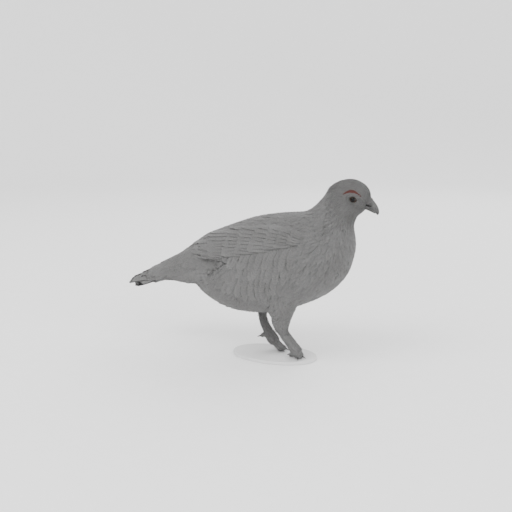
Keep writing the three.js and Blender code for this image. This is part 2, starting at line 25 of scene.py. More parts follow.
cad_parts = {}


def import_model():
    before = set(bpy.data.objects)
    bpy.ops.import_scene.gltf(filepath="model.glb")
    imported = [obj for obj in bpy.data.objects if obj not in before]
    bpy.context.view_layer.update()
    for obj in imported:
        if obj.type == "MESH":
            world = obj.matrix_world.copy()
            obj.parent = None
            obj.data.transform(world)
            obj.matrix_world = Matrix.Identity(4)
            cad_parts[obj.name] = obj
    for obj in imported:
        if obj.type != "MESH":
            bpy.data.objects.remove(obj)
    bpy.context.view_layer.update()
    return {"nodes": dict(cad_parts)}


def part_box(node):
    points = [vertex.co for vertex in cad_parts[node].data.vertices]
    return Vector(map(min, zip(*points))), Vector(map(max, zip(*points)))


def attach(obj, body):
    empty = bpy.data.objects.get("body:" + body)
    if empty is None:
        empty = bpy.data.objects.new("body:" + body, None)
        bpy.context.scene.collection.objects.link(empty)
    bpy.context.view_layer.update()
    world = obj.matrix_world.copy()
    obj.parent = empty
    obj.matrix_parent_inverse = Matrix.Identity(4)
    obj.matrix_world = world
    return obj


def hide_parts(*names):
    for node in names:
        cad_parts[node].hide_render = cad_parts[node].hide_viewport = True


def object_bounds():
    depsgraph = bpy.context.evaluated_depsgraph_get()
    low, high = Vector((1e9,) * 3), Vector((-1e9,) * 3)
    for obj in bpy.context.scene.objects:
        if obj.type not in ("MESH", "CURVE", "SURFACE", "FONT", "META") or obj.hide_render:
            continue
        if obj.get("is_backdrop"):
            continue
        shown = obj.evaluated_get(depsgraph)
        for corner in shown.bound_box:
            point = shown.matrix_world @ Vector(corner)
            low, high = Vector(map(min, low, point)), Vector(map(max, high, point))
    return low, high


LOG = logging.getLogger("ptarmigan")

MM = 0.001  # metres in a millimetre
ORIGIN = np.array([1.5, 0.0, 3.1])  # the bird's own origin in the frame, mm
SEED = 11
PATCH = 0.003  # the width of one feather's patch on the unwrap
BODY = "root"
PLUMAGE_SLOT = "grey_plumage"


class Side(Enum):
    """One side of the bird, with the sign of its Y."""

    RIGHT = -1
    LEFT = 1

    @property
    def label(self) -> str:
        """The side's name in lower case."""
        return self.name.lower()


# ------------------------------------------------------------------ tables of the bird's shape
# Stations from the face to the tail's root: back x, z, belly x, z, and half-width.
STATIONS = np.array([
    [147, 192, 141.5, 179.5, 6.5],
    [144.6, 200, 138, 175.5, 11.5],
    [138.3, 206.6, 133, 171.5, 15],
    [127, 211, 130.5, 168.3, 17],
    [114, 209.3, 129.4, 164.2, 17.2],
    [102.4, 202.8, 127.8, 158.5, 17],
    [95.4, 192.4, 129, 150.5, 18],
    [86.4, 182, 130.4, 140.5, 22.5],
    [73.5, 173.2, 129.4, 127, 31.5],
    [54, 170.8, 121.3, 103.2, 44.5],
    [33, 168.2, 103.6, 83.2, 51.5],
    [10, 163.2, 77, 68.2, 53.5],
    [-12, 155.7, 46, 56, 52],
    [-33, 147.6, 15, 51.6, 47],
    [-50, 140.3, -13, 53.4, 39.5],
    [-64, 130.8, -32.5, 59.6, 31.5],
    [-76, 122, -45, 68.8, 25],
    [-86, 115.6, -49.5, 80.5, 20],
])
# The folded tail from root to tip: x, the ridge's z, half-width, right and left edge's z.
TAIL = np.array([
    [-66, 126.5, 27, 84.5, 84],
    [-90, 113.7, 22, 84, 82],
    [-110, 102.9, 19.5, 83, 79],
    [-130, 92.1, 17, 81.2, 73.3],
    [-148, 83.2, 14, 77.2, 66.4],
    [-158.5, 78, 9.5, 74.2, 63.8],
])
# The rump's first row, inside the body, as in the tail's table.
RUMP = np.array([-42, 140.5, 38, 89, 88])
# How the coat lies in a side view: x, z, heading in degrees from +X towards +Z, and the
# distance between feathers.
LIE = np.array([
    [148, 190, 130, 0.75],
    [142, 203, 150, 0.85],
    [127, 211, 178, 1.05],
    [114, 209, 195, 1.25],
    [102, 202, 218, 1.8],
    [94, 190, 226, 2.3],
    [138, 193, 172, 0.7],
    [122, 193, 190, 0.85],
    [132, 181, 205, 0.85],
    [120, 180, 215, 1.15],
    [140, 178, 200, 0.75],
    [133, 171, 230, 1.0],
    [129, 160, 262, 1.7],
    [112, 178, 228, 1.8],
    [120, 160, 245, 2.1],
    [105, 165, 232, 2.4],
    [84, 178, 214, 2.7],
    [90, 155, 215, 2.9],
    [130, 140, 262, 2.5],
    [128, 122, 250, 3.0],
    [110, 130, 228, 3.1],
    [108, 95, 222, 3.1],
    [85, 74, 200, 3.1],
    [50, 57, 184, 3.1],
    [10, 51, 172, 3.1],
    [-20, 55, 160, 2.9],
    [-42, 72, 158, 2.7],
    [55, 171, 182, 3.0],
    [33, 168, 188, 3.2],
    [0, 160, 198, 3.4],
    [-33, 147, 203, 3.3],
    [-64, 131, 208, 3.1],
    [-90, 112, 210, 2.9],
    [60, 150, 195, 3.2],
    [20, 140, 205, 3.4],
    [-20, 130, 205, 3.4],
    [60, 120, 232, 3.3],
    [20, 105, 240, 3.3],
    [45, 90, 245, 3.1],
    [-10, 95, 225, 3.2],
    [-40, 100, 192, 3.0],
    [-60, 100, 190, 3.0],
    [-75, 92, 190, 2.9],
    [-25, 75, 200, 2.9],
    [60, 80, 258, 2.7],
    [56, 62, 264, 2.1],
    [51, 46, 268, 1.45],
    [52, 33, 292, 1.15],
    [58, 22, 305, 1.0],
    [64, 12, 308, 1.0],
    [71, 5, 335, 0.9],
    [58, 8, 215, 1.0],
    [20, 66, 262, 2.1],
    [14, 50, 270, 1.4],
    [15, 38, 296, 1.15],
    [21, 26, 305, 1.0],
    [28, 16, 308, 1.0],
    [38, 7, 325, 0.95],
    [44, 5, 335, 0.9],
    [16, 18, 215, 1.0],
])
LEG_TOP = 56.0  # z below which the coat is the hair-like one of the legs
EYE_AT = np.array([131.2, 13.1, 190.6])  # the left eyeball's centre
EYE_RADIUS = 4.7
EYE_TURN = 0.12  # radians that each eye looks forward
EYE_SLANT = -0.38  # radians that its front corner is lower
ORBIT = (6.0, 4.6)  # half-length and half-height of the fold round it
COMB_ARC = np.array([119.5, 195.2, 139.5, 193.6])  # rear and front ends, x and z
COMB_RISE = 4.6
LORE = np.array([[138.2, 189.6], [143.2, 187.9]])  # the groove from the eye to the nostril
NOSTRIL = np.array([[142.9, 188.2], [142.6, 185.6], [144.6, 183.9], [148.5, 182.9]])
MOUTH = np.array([[135.3, 181.0], [142.4, 181.4]])
FACE_AT = np.array([144.2, 0.0, 185.7])  # the middle of the face, where the bill starts
FACE_RUN = np.array([0.915, 0.0, -0.403])  # the way that it looks
# Behind the flank and below the wing the side lies deeper: its upper and lower edges.
HOLLOW = np.array([
    [-5.5, 114], [-14, 118.5], [-30, 117.5], [-56, 114], [-56, 98], [-31, 98], [-23, 103.5],
])
SIDE_FROM = 18  # how far from the middle plane the body's sides start
BULGES = ((-58, 74, 1.9), (77, 90, 1.4))  # fuller spots of the belly: x, z and height
BULGE_WIDE = 15
GROOVES = ((LORE, 0.6, 1.0), (NOSTRIL[:2], 1.2, 0.7), (MOUTH, 0.8, 0.6))  # line, depth, half-width
# Where longer feathers hide the skin in a side view, as corners x, z.
WING_AREA = [(78, 150), (45, 156), (0, 149), (-45, 134), (-38, 118), (0, 124), (50, 139), (76, 142)]
FLANK_AREA = [
    (66, 128), (20, 130), (-2, 124), (-8, 116.5), (-20, 105), (-21, 99), (20, 84), (48, 88), (62, 104),
]


def along(table: np.ndarray, place: np.ndarray) -> np.ndarray:
    """Reads a table between its rows, on a uniform Catmull-Rom spline.

    Args:
        table: The rows.
        place: Places counted in rows.

    Returns:
        One row for each place.
    """
    last = len(table) - 1
    place = np.asarray(place, float)
    index = np.clip(np.floor(place).astype(int), 0, last - 1)
    share = (place - index)[..., None]
    before, start, end, after = (table[np.clip(index + k, 0, last)] for k in (-1, 0, 1, 2))
    rise, fall = (end - before) / 2, (after - start) / 2
    cubic = 2 * (start - end) + rise + fall
    return start + share * (rise + share * (3 * (end - start) - 2 * rise - fall + share * cubic))


def unit(vectors: np.ndarray) -> np.ndarray:
    """Vectors brought to length one along the last axis."""
    return vectors / np.maximum(np.linalg.norm(vectors, axis=-1, keepdims=True), 1e-9)


def smooth_step(value: np.ndarray) -> np.ndarray:
    """A soft step from 0 to 1."""
    value = np.clip(value, 0.0, 1.0)
    return value * value * (3 - 2 * value)


def full_turn(count: int) -> np.ndarray:
    """Angles at even steps round a circle."""
    return np.arange(count) * 2 * math.pi / count


def bell(value: np.ndarray, width: float) -> np.ndarray:
    """A bell curve over a value: 1 at 0, and 0.37 at the width."""
    return np.exp(-((value / width) ** 2))


def away_from(line: np.ndarray, x: np.ndarray, z: np.ndarray) -> np.ndarray:
    """The distances from points of a side view to a line of corners x, z."""
    best = np.full(len(x), np.inf)
    for (ax, az), (bx, bz) in zip(line, line[1:]):
        run = np.array([bx - ax, bz - az])
        share = np.clip(((x - ax) * run[0] + (z - az) * run[1]) / (run @ run), 0, 1)
        best = np.minimum(best, np.hypot(x - ax - run[0] * share, z - az - run[1] * share))
    return best


def orbit_share(points: np.ndarray) -> np.ndarray:
    """Distances from the eyes' middles in the side view, 1 on the fold around the lids."""
    x, z = points[:, 0] - EYE_AT[0], points[:, 2] - EYE_AT[2]
    cos, sin = math.cos(EYE_SLANT), math.sin(EYE_SLANT)
    return np.hypot((x * cos + z * sin) / ORBIT[0], (z * cos - x * sin) / ORBIT[1])


def crease_share(points: np.ndarray) -> np.ndarray:
    """Distances from the creases below a wing's tip and behind a flank in the side view, mm."""
    x, z = points[:, 0], points[:, 2]
    return np.minimum(away_from(HOLLOW[:3], x, z), away_from(HOLLOW[[0, 6]], x, z))


def inside(corners: Sequence[Sequence[float]], x: np.ndarray, z: np.ndarray) -> np.ndarray:
    """Tells which points of a side view lie inside a polygon.

    Args:
        corners: The polygon's corners, x and z.
        x: The points' x.
        z: The points' z.

    Returns:
        A mask over the points.
    """
    found = np.zeros(len(x), bool)
    for (ax, az), (bx, bz) in zip(corners, [*corners[1:], corners[0]]):
        crosses = (az > z) != (bz > z)
        reach = (bx - ax) * (z - az) / ((bz - az) or 1e-9) + ax
        found ^= crosses & (x < reach)
    return found


# ------------------------------------------------------------------ finishes
class NodeTree:
    """A material's nodes, with a short way to add and join them."""

    def __init__(self, name: str) -> None:
        """Starts a material of that name, with its shader and its Object coordinates."""
        self.material = bpy.data.materials.new(name)
        self.material.use_nodes = True
        self.tree = self.material.node_tree
        self.shader = self.tree.nodes["Principled BSDF"]
        self.place = self.add("TexCoord").outputs["Object"]

    def join(self, term: NodeSocket | float | tuple, into: NodeSocket) -> None:
        """Links a socket to an input, or sets the input to a number, a vector or a colour."""
        if isinstance(term, NodeSocket):
            self.tree.links.new(term, into)
        else:
            into.default_value = (*term, 1.0) if into.type == "RGBA" else term

    def fill(self, node: Node, terms: dict) -> None:
        """Joins terms to a node's inputs by their names, underscores standing for spaces."""
        for key, term in terms.items():
            self.join(term, node.inputs[key.replace("_", " ")])

    def add(self, kind: str, sets: dict | None = None, **terms: NodeSocket | float | tuple) -> Node:
        """Adds a node.

        Args:
            kind: The node's type without its ShaderNode prefix.
            sets: Properties of the node itself.
            **terms: Sockets and values for its inputs, underscores standing for spaces.

        Returns:
            The node.
        """
        node = self.tree.nodes.new("ShaderNode" + kind)
        for key, value in (sets or {}).items():
            setattr(node, key, value)
        self.fill(node, terms)
        return node

    def math(
        self, operation: str, *terms: NodeSocket | float | tuple, kind: str = "Math", out: int = 0
    ) -> NodeSocket:
        """One output of a Math node, or of a VectorMath one, over its terms."""
        node = self.add(kind, {"operation": operation})
        for term, into in zip(terms, node.inputs):
            self.join(term, into)
        return node.outputs[out]

    def noise(
        self, scale: float, detail: float, vector: NodeSocket | None = None, **values: float
    ) -> NodeSocket:
        """A Noise texture's factor, over the Object coordinates or a vector of its own."""
        vector = self.place if vector is None else vector
        return self.add("TexNoise", Vector=vector, Scale=scale, Detail=detail, **values).outputs["Fac"]

    def attribute(self, name: str) -> NodeSocket:
        """The value of one of the mesh's attributes."""
        return self.add("Attribute", {"attribute_name": name}).outputs["Fac"]

    def ramp(self, factor: NodeSocket, stops: Sequence[tuple[float, tuple]]) -> NodeSocket:
        """A ColorRamp's colour over a factor, by its stops."""
        node = self.add("ValToRGB", Fac=factor)
        elements = node.color_ramp.elements
        while len(elements) < len(stops):
            elements.new(0.5)
        for element, (place, colour) in zip(elements, stops):
            element.position = place
            element.color = (*colour, 1.0)
        return node.outputs["Color"]

    def mix(
        self, blend: str, factor: NodeSocket | float, first: NodeSocket, second: NodeSocket | tuple
    ) -> NodeSocket:
        """The result of a colour Mix node."""
        node = self.add("Mix", {"data_type": "RGBA", "blend_type": blend})
        for k, term in ((0, factor), (6, first), (7, second)):
            self.join(term, node.inputs[k])
        return node.outputs[2]

    def shaded(
        self, colour: NodeSocket, factor: NodeSocket, *stops: tuple[float, float], amount: float = 1.0
    ) -> NodeSocket:
        """A colour multiplied by greys that follow a factor.

        Args:
            colour: The colour.
            factor: What the greys follow.
            *stops: Each grey's place and value.
            amount: How much of it is taken.

        Returns:
            The shaded colour.
        """
        shade = self.ramp(factor, [(place, grey(value)) for place, value in stops])
        return self.mix("MULTIPLY", amount, colour, shade)

    def bump(self, height: NodeSocket, strength: float, distance: float) -> None:
        """Joins a height to the shader's normal."""
        node = self.add("Bump", Height=height, Strength=strength, Distance=distance)
        self.join(node.outputs["Normal"], self.shader.inputs["Normal"])

    def finish(self, colour: NodeSocket, **terms: NodeSocket | float) -> Material:
        """Fills the shader.

        Args:
            colour: Its colour.
            **terms: Sockets and values for its other inputs, underscores standing for spaces.

        Returns:
            The material.
        """
        self.fill(self.shader, {"Base_Color": colour, **terms})
        return self.material


def grey(value: float, warm: float = 0.0) -> tuple[float, float, float]:
    """A grey, a little warmer or cooler."""
    return (value * (1 + warm), value, value * (1 - 1.4 * warm))


@dataclass(frozen=True)
class PlumageFinish:
    """Matt feathers with fine wavy bars, a shaft, barbs, slightly paler fringes, and painted light: paler
    low down, a little darker on top.
    """

    name: str
    tone: float = 0.117
    warm: float = 0.012
    bars: float = 0.19  # how strong the fine bars are
    sheen: float = 0.15
    vaned: bool = True  # False on the skin, which has no feather coordinates

    def material(self) -> Material:
        """The material with its nodes."""
        nodes = NodeTree(self.name)
        colour = nodes.ramp(nodes.noise(38.0, 3.0, Roughness=0.55), [
            (0.3, grey(self.tone * 0.92, self.warm)),
            (0.7, grey(self.tone * 1.08, self.warm * 0.4)),
        ])
        # Painted light: paler low on the bird and a little darker high up, against the shade under the
        # body.
        height = nodes.math("MULTIPLY", nodes.add("SeparateXYZ", Vector=nodes.place).outputs["Z"], 5.0)
        colour = nodes.shaded(colour, height, (0.1, 1.16), (0.55, 1.0), (0.95, 0.95))
        worm = nodes.noise(640.0, 2.0, Roughness=0.6, Distortion=1.2)
        colour = nodes.shaded(colour, worm, (0.4, 1 - self.bars * 0.6), (0.56, 1.0))
        if self.vaned:
            colour = self._feathered(nodes, colour, worm)
        else:
            nodes.bump(worm, 0.5, 0.0006)
        return nodes.finish(
            colour, Roughness=0.85, Sheen_Weight=self.sheen, Sheen_Roughness=0.5, Specular_IOR_Level=0.18
        )

    def _feathered(self, nodes: NodeTree, colour: NodeSocket, worm: NodeSocket) -> NodeSocket:
        """Adds what follows each feather: its shaft, fringe, bars, tint (with painted shade on some coat
        feathers) and barbs.
        """
        uv = nodes.add("SeparateXYZ", Vector=nodes.add("UVMap", {"uv_map": "Vane"}).outputs["UV"])
        across = nodes.math("ABSOLUTE", nodes.math("SUBTRACT", uv.outputs["X"], 0.5))
        down = uv.outputs["Y"]
        colour = nodes.shaded(colour, down, (0.0, 0.8), (0.4, 0.97), (0.85, 1.0), (1.0, 1.1))
        colour = nodes.shaded(colour, across, (0.0, 0.82), (0.02, 0.86), (0.045, 1.0), amount=0.6)
        colour = nodes.shaded(colour, across, (0.38, 1.0), (0.5, 1.07))
        bent = nodes.math("MULTIPLY_ADD", across, 3.5, nodes.math("MULTIPLY", worm, 9.0))
        waves = nodes.math("SINE", nodes.math("MULTIPLY_ADD", down, 74.0, bent))
        raised = nodes.math("MULTIPLY_ADD", waves, 0.5, 0.5)
        colour = nodes.shaded(colour, raised, (0.3, 1 - self.bars), (0.6, 1.0), amount=0.8)
        # Each feather's own tone, with painted shade near the eyes' folds and the creases on the coat.
        tint = nodes.attribute("tint")
        tint = nodes.add("CombineColor", Red=tint, Green=tint, Blue=tint).outputs["Color"]
        slant = nodes.math("SUBTRACT", down, nodes.math("MULTIPLY", across, 0.8))
        nodes.bump(nodes.math("SINE", nodes.math("MULTIPLY", slant, 260.0)), 0.25, 0.00012)
        return nodes.mix("MULTIPLY", 1.0, colour, tint)


@dataclass(frozen=True)
class HornFinish:
    """Satin horn with fine streaks along it, and painted shade in the nostrils' pits."""

    name: str
    dark: float = 0.018
    light: float = 0.06
    roughness: float = 0.38
    slope: float = 0.72  # radians that its length points down

    def material(self) -> Material:
        """The material with its nodes."""
        nodes = NodeTree(self.name)
        stretch = nodes.add(
            "Mapping", {"vector_type": "TEXTURE"},
            Vector=nodes.place, Rotation=(0.0, self.slope, 0.0), Scale=(1 / 90, 1 / 1100, 1 / 1100),
        )
        streaks = nodes.noise(1.0, 4.0, stretch.outputs["Vector"])
        half = nodes.math("MULTIPLY", nodes.noise(260.0, 3.0), 0.45)
        mixed = nodes.math("MULTIPLY_ADD", streaks, 0.55, half)
        colour = nodes.ramp(mixed, [(0.38, grey(self.dark, -0.02)), (0.62, grey(self.light, 0.02))])
        # Painted shade: the nostrils' pits are painted nearly black and less glossy.
        pit_and_painted_shade = nodes.attribute("pit_and_painted_shade")
        colour = nodes.mix("MIX", pit_and_painted_shade, colour, grey(0.004))
        gloss = nodes.math("MULTIPLY_ADD", pit_and_painted_shade, -0.45, 0.45)
        nodes.bump(mixed, 0.5, 0.0003)
        return nodes.finish(colour, Roughness=self.roughness, Specular_IOR_Level=gloss)


@dataclass(frozen=True)
class BareSkinFinish:
    """Thin bare skin with fine wrinkles, as on lids and combs."""

    name: str
    tone: tuple[float, float, float]
    pale: tuple[float, float, float]
    grain: float = 1500.0
    relief: float = 0.00025

    def material(self) -> Material:
        """The material with its nodes."""
        nodes = NodeTree(self.name)
        cells = nodes.add("TexVoronoi", Vector=nodes.place, Scale=self.grain)
        soft = nodes.math("MULTIPLY", nodes.noise(self.grain * 0.3, 3.0), 0.6)
        mixed = nodes.math("MULTIPLY_ADD", cells.outputs["Distance"], 0.5, soft)
        colour = nodes.ramp(mixed, [(0.25, self.tone), (0.75, self.pale)])
        nodes.bump(mixed, 0.7, self.relief)
        return nodes.finish(colour, Roughness=0.7, Specular_IOR_Level=0.15)


@dataclass(frozen=True)
class EyeFinish:
    """A dark brown eye with a black pupil under a wet cornea."""

    name: str
    centre: tuple[float, float, float]  # metres
    look: tuple[float, float, float]
    radius: float

    def material(self) -> Material:
        """The material with its nodes."""
        nodes = NodeTree(self.name)
        away = nodes.math("SUBTRACT", nodes.place, self.centre, kind="VectorMath")
        ahead = nodes.math("DOT_PRODUCT", away, self.look, kind="VectorMath", out=1)
        height = nodes.math("SUBTRACT", nodes.math("DIVIDE", ahead, self.radius), 0.01)
        colour = nodes.ramp(nodes.math("MULTIPLY_ADD", nodes.noise(2600.0, 3.0), 0.02, height), [
            (0.55, (0.003, 0.002, 0.002)),
            (0.66, (0.02, 0.009, 0.005)),
            (0.82, (0.03, 0.014, 0.007)),
            (0.86, (0.006, 0.003, 0.002)),
            (0.88, (0.001, 0.001, 0.001)),
        ])
        return nodes.finish(
            colour, Roughness=0.05, Coat_Weight=0.1, Coat_Roughness=0.02, Specular_IOR_Level=0.12
        )


@dataclass(frozen=True)
class PlainFinish:
    """Matt paint or paper with a faint grain."""

    name: str
    tone: float
    roughness: float = 0.7
    grain: float = 900.0

    def material(self) -> Material:
        """The material with its nodes."""
        nodes = NodeTree(self.name)
        grain = nodes.noise(self.grain, 2.0)
        colour = nodes.ramp(grain, [(0.3, grey(self.tone * 0.985)), (0.7, grey(self.tone))])
        nodes.bump(grain, 0.12, 0.0001)
        return nodes.finish(colour, Roughness=self.roughness)


# ------------------------------------------------------------------ pieces
def dress(
    piece: Object, material: Material, nodes: Sequence[str] = ()
) -> None:
    """Gives a piece its finish, its body and the solids that it stands for.

    Args:
        piece: The finished piece.
        material: Its material.
        nodes: The CAD nodes that it replaces.
    """
    piece.data.materials.clear()
    piece.data.materials.append(material)
    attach(piece, BODY)
    if nodes:
        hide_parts(*nodes)
    LOG.info("%s: %d faces", piece.name, len(piece.data.polygons))


def link(name: str, data: bpy.types.ID) -> Object:
    """An object for a mesh, a light or a camera, in the scene."""
    piece = bpy.data.objects.new(name, data)
    bpy.context.scene.collection.objects.link(piece)
    return piece


def meshed(name: str, shape: BMesh) -> Object:
    """A smooth object of a bmesh, which is freed."""
    mesh = bpy.data.meshes.new(name)
    shape.to_mesh(mesh)
    shape.free()
    mesh.shade_smooth()
    return link(name, mesh)


def piece_from(name: str, shape: BMesh, levels: int = 0) -> Object:
    """Turns a bmesh in the bird's millimetres into a smooth piece in the frame.

    Args:
        name: The piece's name.
        shape: The bmesh, which is freed.
        levels: Levels of subdivision to finish it with.

    Returns:
        The piece.
    """
    bmesh.ops.recalc_face_normals(shape, faces=shape.faces)
    bmesh.ops.translate(shape, verts=shape.verts, vec=Vector(ORIGIN))
    bmesh.ops.scale(shape, verts=shape.verts, vec=Vector((MM, MM, MM)))
    piece = meshed(name, shape)
    if levels:
        modifier = piece.modifiers.new("subdivide", "SUBSURF")
        modifier.levels = modifier.render_levels = levels
        apply_modifiers(piece)
    return piece


def apply_modifiers(piece: Object) -> None:
    """Replaces a piece's mesh by what its modifiers make of it."""
    made = bpy.data.meshes.new_from_object(piece.evaluated_get(bpy.context.evaluated_depsgraph_get()))
    piece.modifiers.clear()
    piece.data = made
    piece.data.shade_smooth()


def lofted(rings: Sequence[np.ndarray], capped: bool = True) -> BMesh:
    """A tube through rings of points.

    Args:
        rings: The rings, each an array of points.
        capped: Whether its ends are closed.

    Returns:
        The bmesh, in the rings' own units.
    """
    shape = bmesh.new()
    loops = []
    for ring in rings:
        made = bmesh.ops.create_circle(shape, cap_ends=False, segments=len(ring), radius=1.0)["verts"]
        for vert, point in zip(made, ring):
            vert.co = Vector(point)
        loops.append({edge for vert in made for edge in vert.link_edges})
    for first, second in zip(loops, loops[1:]):
        bmesh.ops.bridge_loops(shape, edges=list(first | second))
    for loop in (loops[0], loops[-1]) if capped else ():
        bmesh.ops.contextual_create(shape, geom=list(loop))
    return shape


def copy_of(node: Object) -> BMesh:
    """A CAD node's mesh, merged, back in the bird's own millimetres."""
    shape = bmesh.new()
    shape.from_mesh(node.data)
    bmesh.ops.scale(shape, verts=shape.verts, vec=Vector((1 / MM,) * 3))
    bmesh.ops.translate(shape, verts=shape.verts, vec=Vector(-ORIGIN))
    bmesh.ops.remove_doubles(shape, verts=shape.verts, dist=0.02)
    return shape


# ------------------------------------------------------------------ the bird's outer form
@dataclass
class BirdForm:
    """The surface that the coat's tips reach, made once and read by every piece."""

    nodes: dict
    squareness: float = 2.15  # 2 is an ellipse
    pear: float = 0.07  # how much wider the lower half is
    around: int = 96
    rings: int = 150
    rump_around: int = 25  # over its upper half
    rump_rings: int = 16
    voxel: float = 1.15  # mm
    smoothing: int = 14
    evening: tuple[float, float] = (0.1, 0.52)  # of a pass on the legs, and how much more elsewhere
    coat: float = 0.5  # how far the coat's tips stand over the solids
    leg_less: float = 0.25  # how much less that is on the legs
    belly_more: float = 0.35
    fold: tuple[float, float, float] = (0.35, 1.3, 0.14)  # round the eye: height, place, half-width
    fold_groove: tuple[float, float, float] = (0.9, 1.06, 0.13)
    crease: tuple[float, float] = (2.0, 1.2)  # depth and half-width
    hollow: float = 2.6  # depth
    points: np.ndarray = field(init=False)
    normals: np.ndarray = field(init=False)
    quads: np.ndarray = field(init=False)
    tree: BVHTree = field(init=False)

    def section(self, place: float, angle: np.ndarray) -> np.ndarray:
        """The body's section at a station: angle 0 is the back, 90 degrees the left side."""
        back_x, back_z, belly_x, belly_z, half = along(STATIONS, np.array(place))
        cos = np.sign(np.cos(angle)) * np.abs(np.cos(angle)) ** (2 / self.squareness)
        sin = np.sign(np.sin(angle)) * np.abs(np.sin(angle)) ** (2 / self.squareness)
        wide = sin * (1 - self.pear * np.cos(angle)) * half
        return np.stack([
            (back_x + belly_x) / 2 + cos * (back_x - belly_x) / 2,
            wide,
            (back_z + belly_z) / 2 + cos * (back_z - belly_z) / 2,
        ], -1)

    def _rump(self) -> list[np.ndarray]:
        """Rings of the rump, which narrows from the body's rear to the tail's root."""
        rows = np.vstack([RUMP, TAIL[:4]])
        turn = np.linspace(-1, 1, self.rump_around) * math.pi / 2
        back = slice(-2, 0, -2)
        rings = []
        for share in np.linspace(0, 1, self.rump_rings):
            x, top, half, right, left = along(rows, np.array(share * (len(rows) - 1)))
            edge = np.where(turn < 0, right, left)
            upper = np.stack([
                np.full(len(turn), x),
                (half - 1.4) * np.sin(turn),
                edge + 1 + (top - 1.8 - edge) * np.cos(turn) ** 1.15,
            ], -1)
            lower = upper[back].copy()
            lower[:, 2] = edge[back] - 0.2 - 1.2 * np.cos(turn[back])
            rings.append(np.vstack([upper, lower]))
        return rings

    def build(self) -> None:
        """Joins body, tail root and limbs to one surface of even quads, and smooths it."""
        angles = full_turn(self.around)
        places = np.linspace(0, len(STATIONS) - 1, self.rings)
        shape = lofted([self.section(place, angles) for place in places])
        rest = [lofted(self._rump())]
        for side in Side:
            rest += [copy_of(self.nodes[f"{part}_{side.label}"]) for part in ("thigh", "shank", "foot")]
        scratch = bpy.data.meshes.new("scratch")
        for part in rest:
            part.to_mesh(scratch)
            part.free()
            shape.from_mesh(scratch)
        bpy.data.meshes.remove(scratch)
        form = piece_from("form", shape)
        modifier = form.modifiers.new("voxels", "REMESH")
        modifier.mode = "VOXEL"
        modifier.voxel_size = self.voxel * MM
        apply_modifiers(form)
        self._read(form.data)
        bpy.data.objects.remove(form)

    def _read(self, mesh: Mesh) -> None:
        """Keeps the remeshed surface as arrays in millimetres, smoothed."""
        count = len(mesh.vertices)
        points = np.empty(count * 3, np.float32)
        mesh.vertices.foreach_get("co", points)
        points = points.reshape(-1, 3).astype(float) / MM - ORIGIN
        edges = np.empty(len(mesh.edges) * 2, np.int32)
        mesh.edges.foreach_get("vertices", edges)
        edges = edges.reshape(-1, 2)
        quads = np.empty(len(mesh.loops), np.int32)
        mesh.loops.foreach_get("vertex_index", quads)
        self.quads = quads.reshape(-1, 4)
        degree = np.maximum(np.bincount(edges.ravel(), minlength=count), 1)[:, None]
        legs, more = self.evening
        hold = (legs + more * smooth_step((points[:, 2] - LEG_TOP + 14) / 14))[:, None]
        for _ in range(self.smoothing):
            total = np.zeros_like(points)
            np.add.at(total, edges[:, 0], points[edges[:, 1]])
            np.add.at(total, edges[:, 1], points[edges[:, 0]])
            points = points + hold * (total / degree - points)
        self.points = points
        self.points = points + self._vertex_normals() * self._relief(points)[:, None]
        self.normals = self._vertex_normals()
        self.tree = BVHTree.FromPolygons(self.points.tolist(), self.quads.tolist())
        LOG.info("form: %d quads", len(self.quads))

    def face_normals(self) -> np.ndarray:
        """The quads' normals, each twice as long as its quad's area."""
        corners = self.points[self.quads]
        return np.cross(corners[:, 2] - corners[:, 0], corners[:, 3] - corners[:, 1])

    def _vertex_normals(self) -> np.ndarray:
        """The normals at the surface's points."""
        faces = self.face_normals()
        normals = np.zeros_like(self.points)
        for k in range(4):
            np.add.at(normals, self.quads[:, k], faces)
        return unit(normals)

    def _relief(self, points: np.ndarray) -> np.ndarray:
        """How far each point moves out for what is finer than the body's stations."""
        x, y, z = points.T
        high = self.coat - self.leg_less * smooth_step((LEG_TOP - 12 - z) / 8)
        high += self.belly_more * smooth_step((114 - z) / 20) * smooth_step((z - LEG_TOP) / 8)
        for at_x, at_z, more in BULGES:
            high += more * np.exp(-(((x - at_x) ** 2 + (z - at_z) ** 2) / BULGE_WIDE**2))
        cheek = smooth_step((np.abs(y) - 3) / 3) * smooth_step((x - 112) / 6)
        orbit = orbit_share(points)
        rise, at, wide = self.fold
        high += cheek * rise * bell(orbit - at, wide)
        high -= cheek * rise * smooth_step((0.9 - orbit) / 0.2)
        deep, at, wide = self.fold_groove
        high -= cheek * deep * bell(orbit - at, wide)
        for line, deep, wide in GROOVES:
            high -= cheek * deep * bell(away_from(line, x, z), wide)
        beside = np.abs(y) > SIDE_FROM
        hollow = inside(HOLLOW, x, z) & beside
        edge = np.minimum(away_from(HOLLOW[:4], x, z), away_from(HOLLOW[[6, 0]], x, z))
        fade = smooth_step((x + 56) / 26)
        high -= self.crease[0] * beside * bell(crease_share(points), self.crease[1])
        return high - self.hollow * hollow * smooth_step(edge / 2.0) * fade

    def snap_all(self, points: np.ndarray) -> tuple[np.ndarray, np.ndarray]:
        """The nearest points of the surface and its smooth normals."""
        hits = [self.tree.find_nearest(Vector(point)) for point in points]
        found = np.array([hit[0] for hit in hits])
        corners = self.quads[[hit[2] for hit in hits]]
        nearness = 1 / (np.linalg.norm(self.points[corners] - found[:, None], axis=2) + 0.05)
        return found, unit((self.normals[corners] * nearness[..., None]).sum(1))

    def snap(self, point: np.ndarray) -> tuple[np.ndarray, np.ndarray]:
        """The nearest point of the surface and its smooth normal."""
        found, normals = self.snap_all(np.array([point]))
        return found[0], normals[0]

    def from_side(self, x: float, z: float, side: Side) -> tuple[np.ndarray, np.ndarray]:
        """The surface's point that a side view shows at x, z, and its normal."""
        start = Vector((x, side.value * 120.0, z))
        found, _, _, _ = self.tree.ray_cast(start, Vector((0, -side.value, 0)))
        if found is None:
            return self.snap(np.array([x, side.value * 14.0, z]))
        return self.snap(np.array(found))


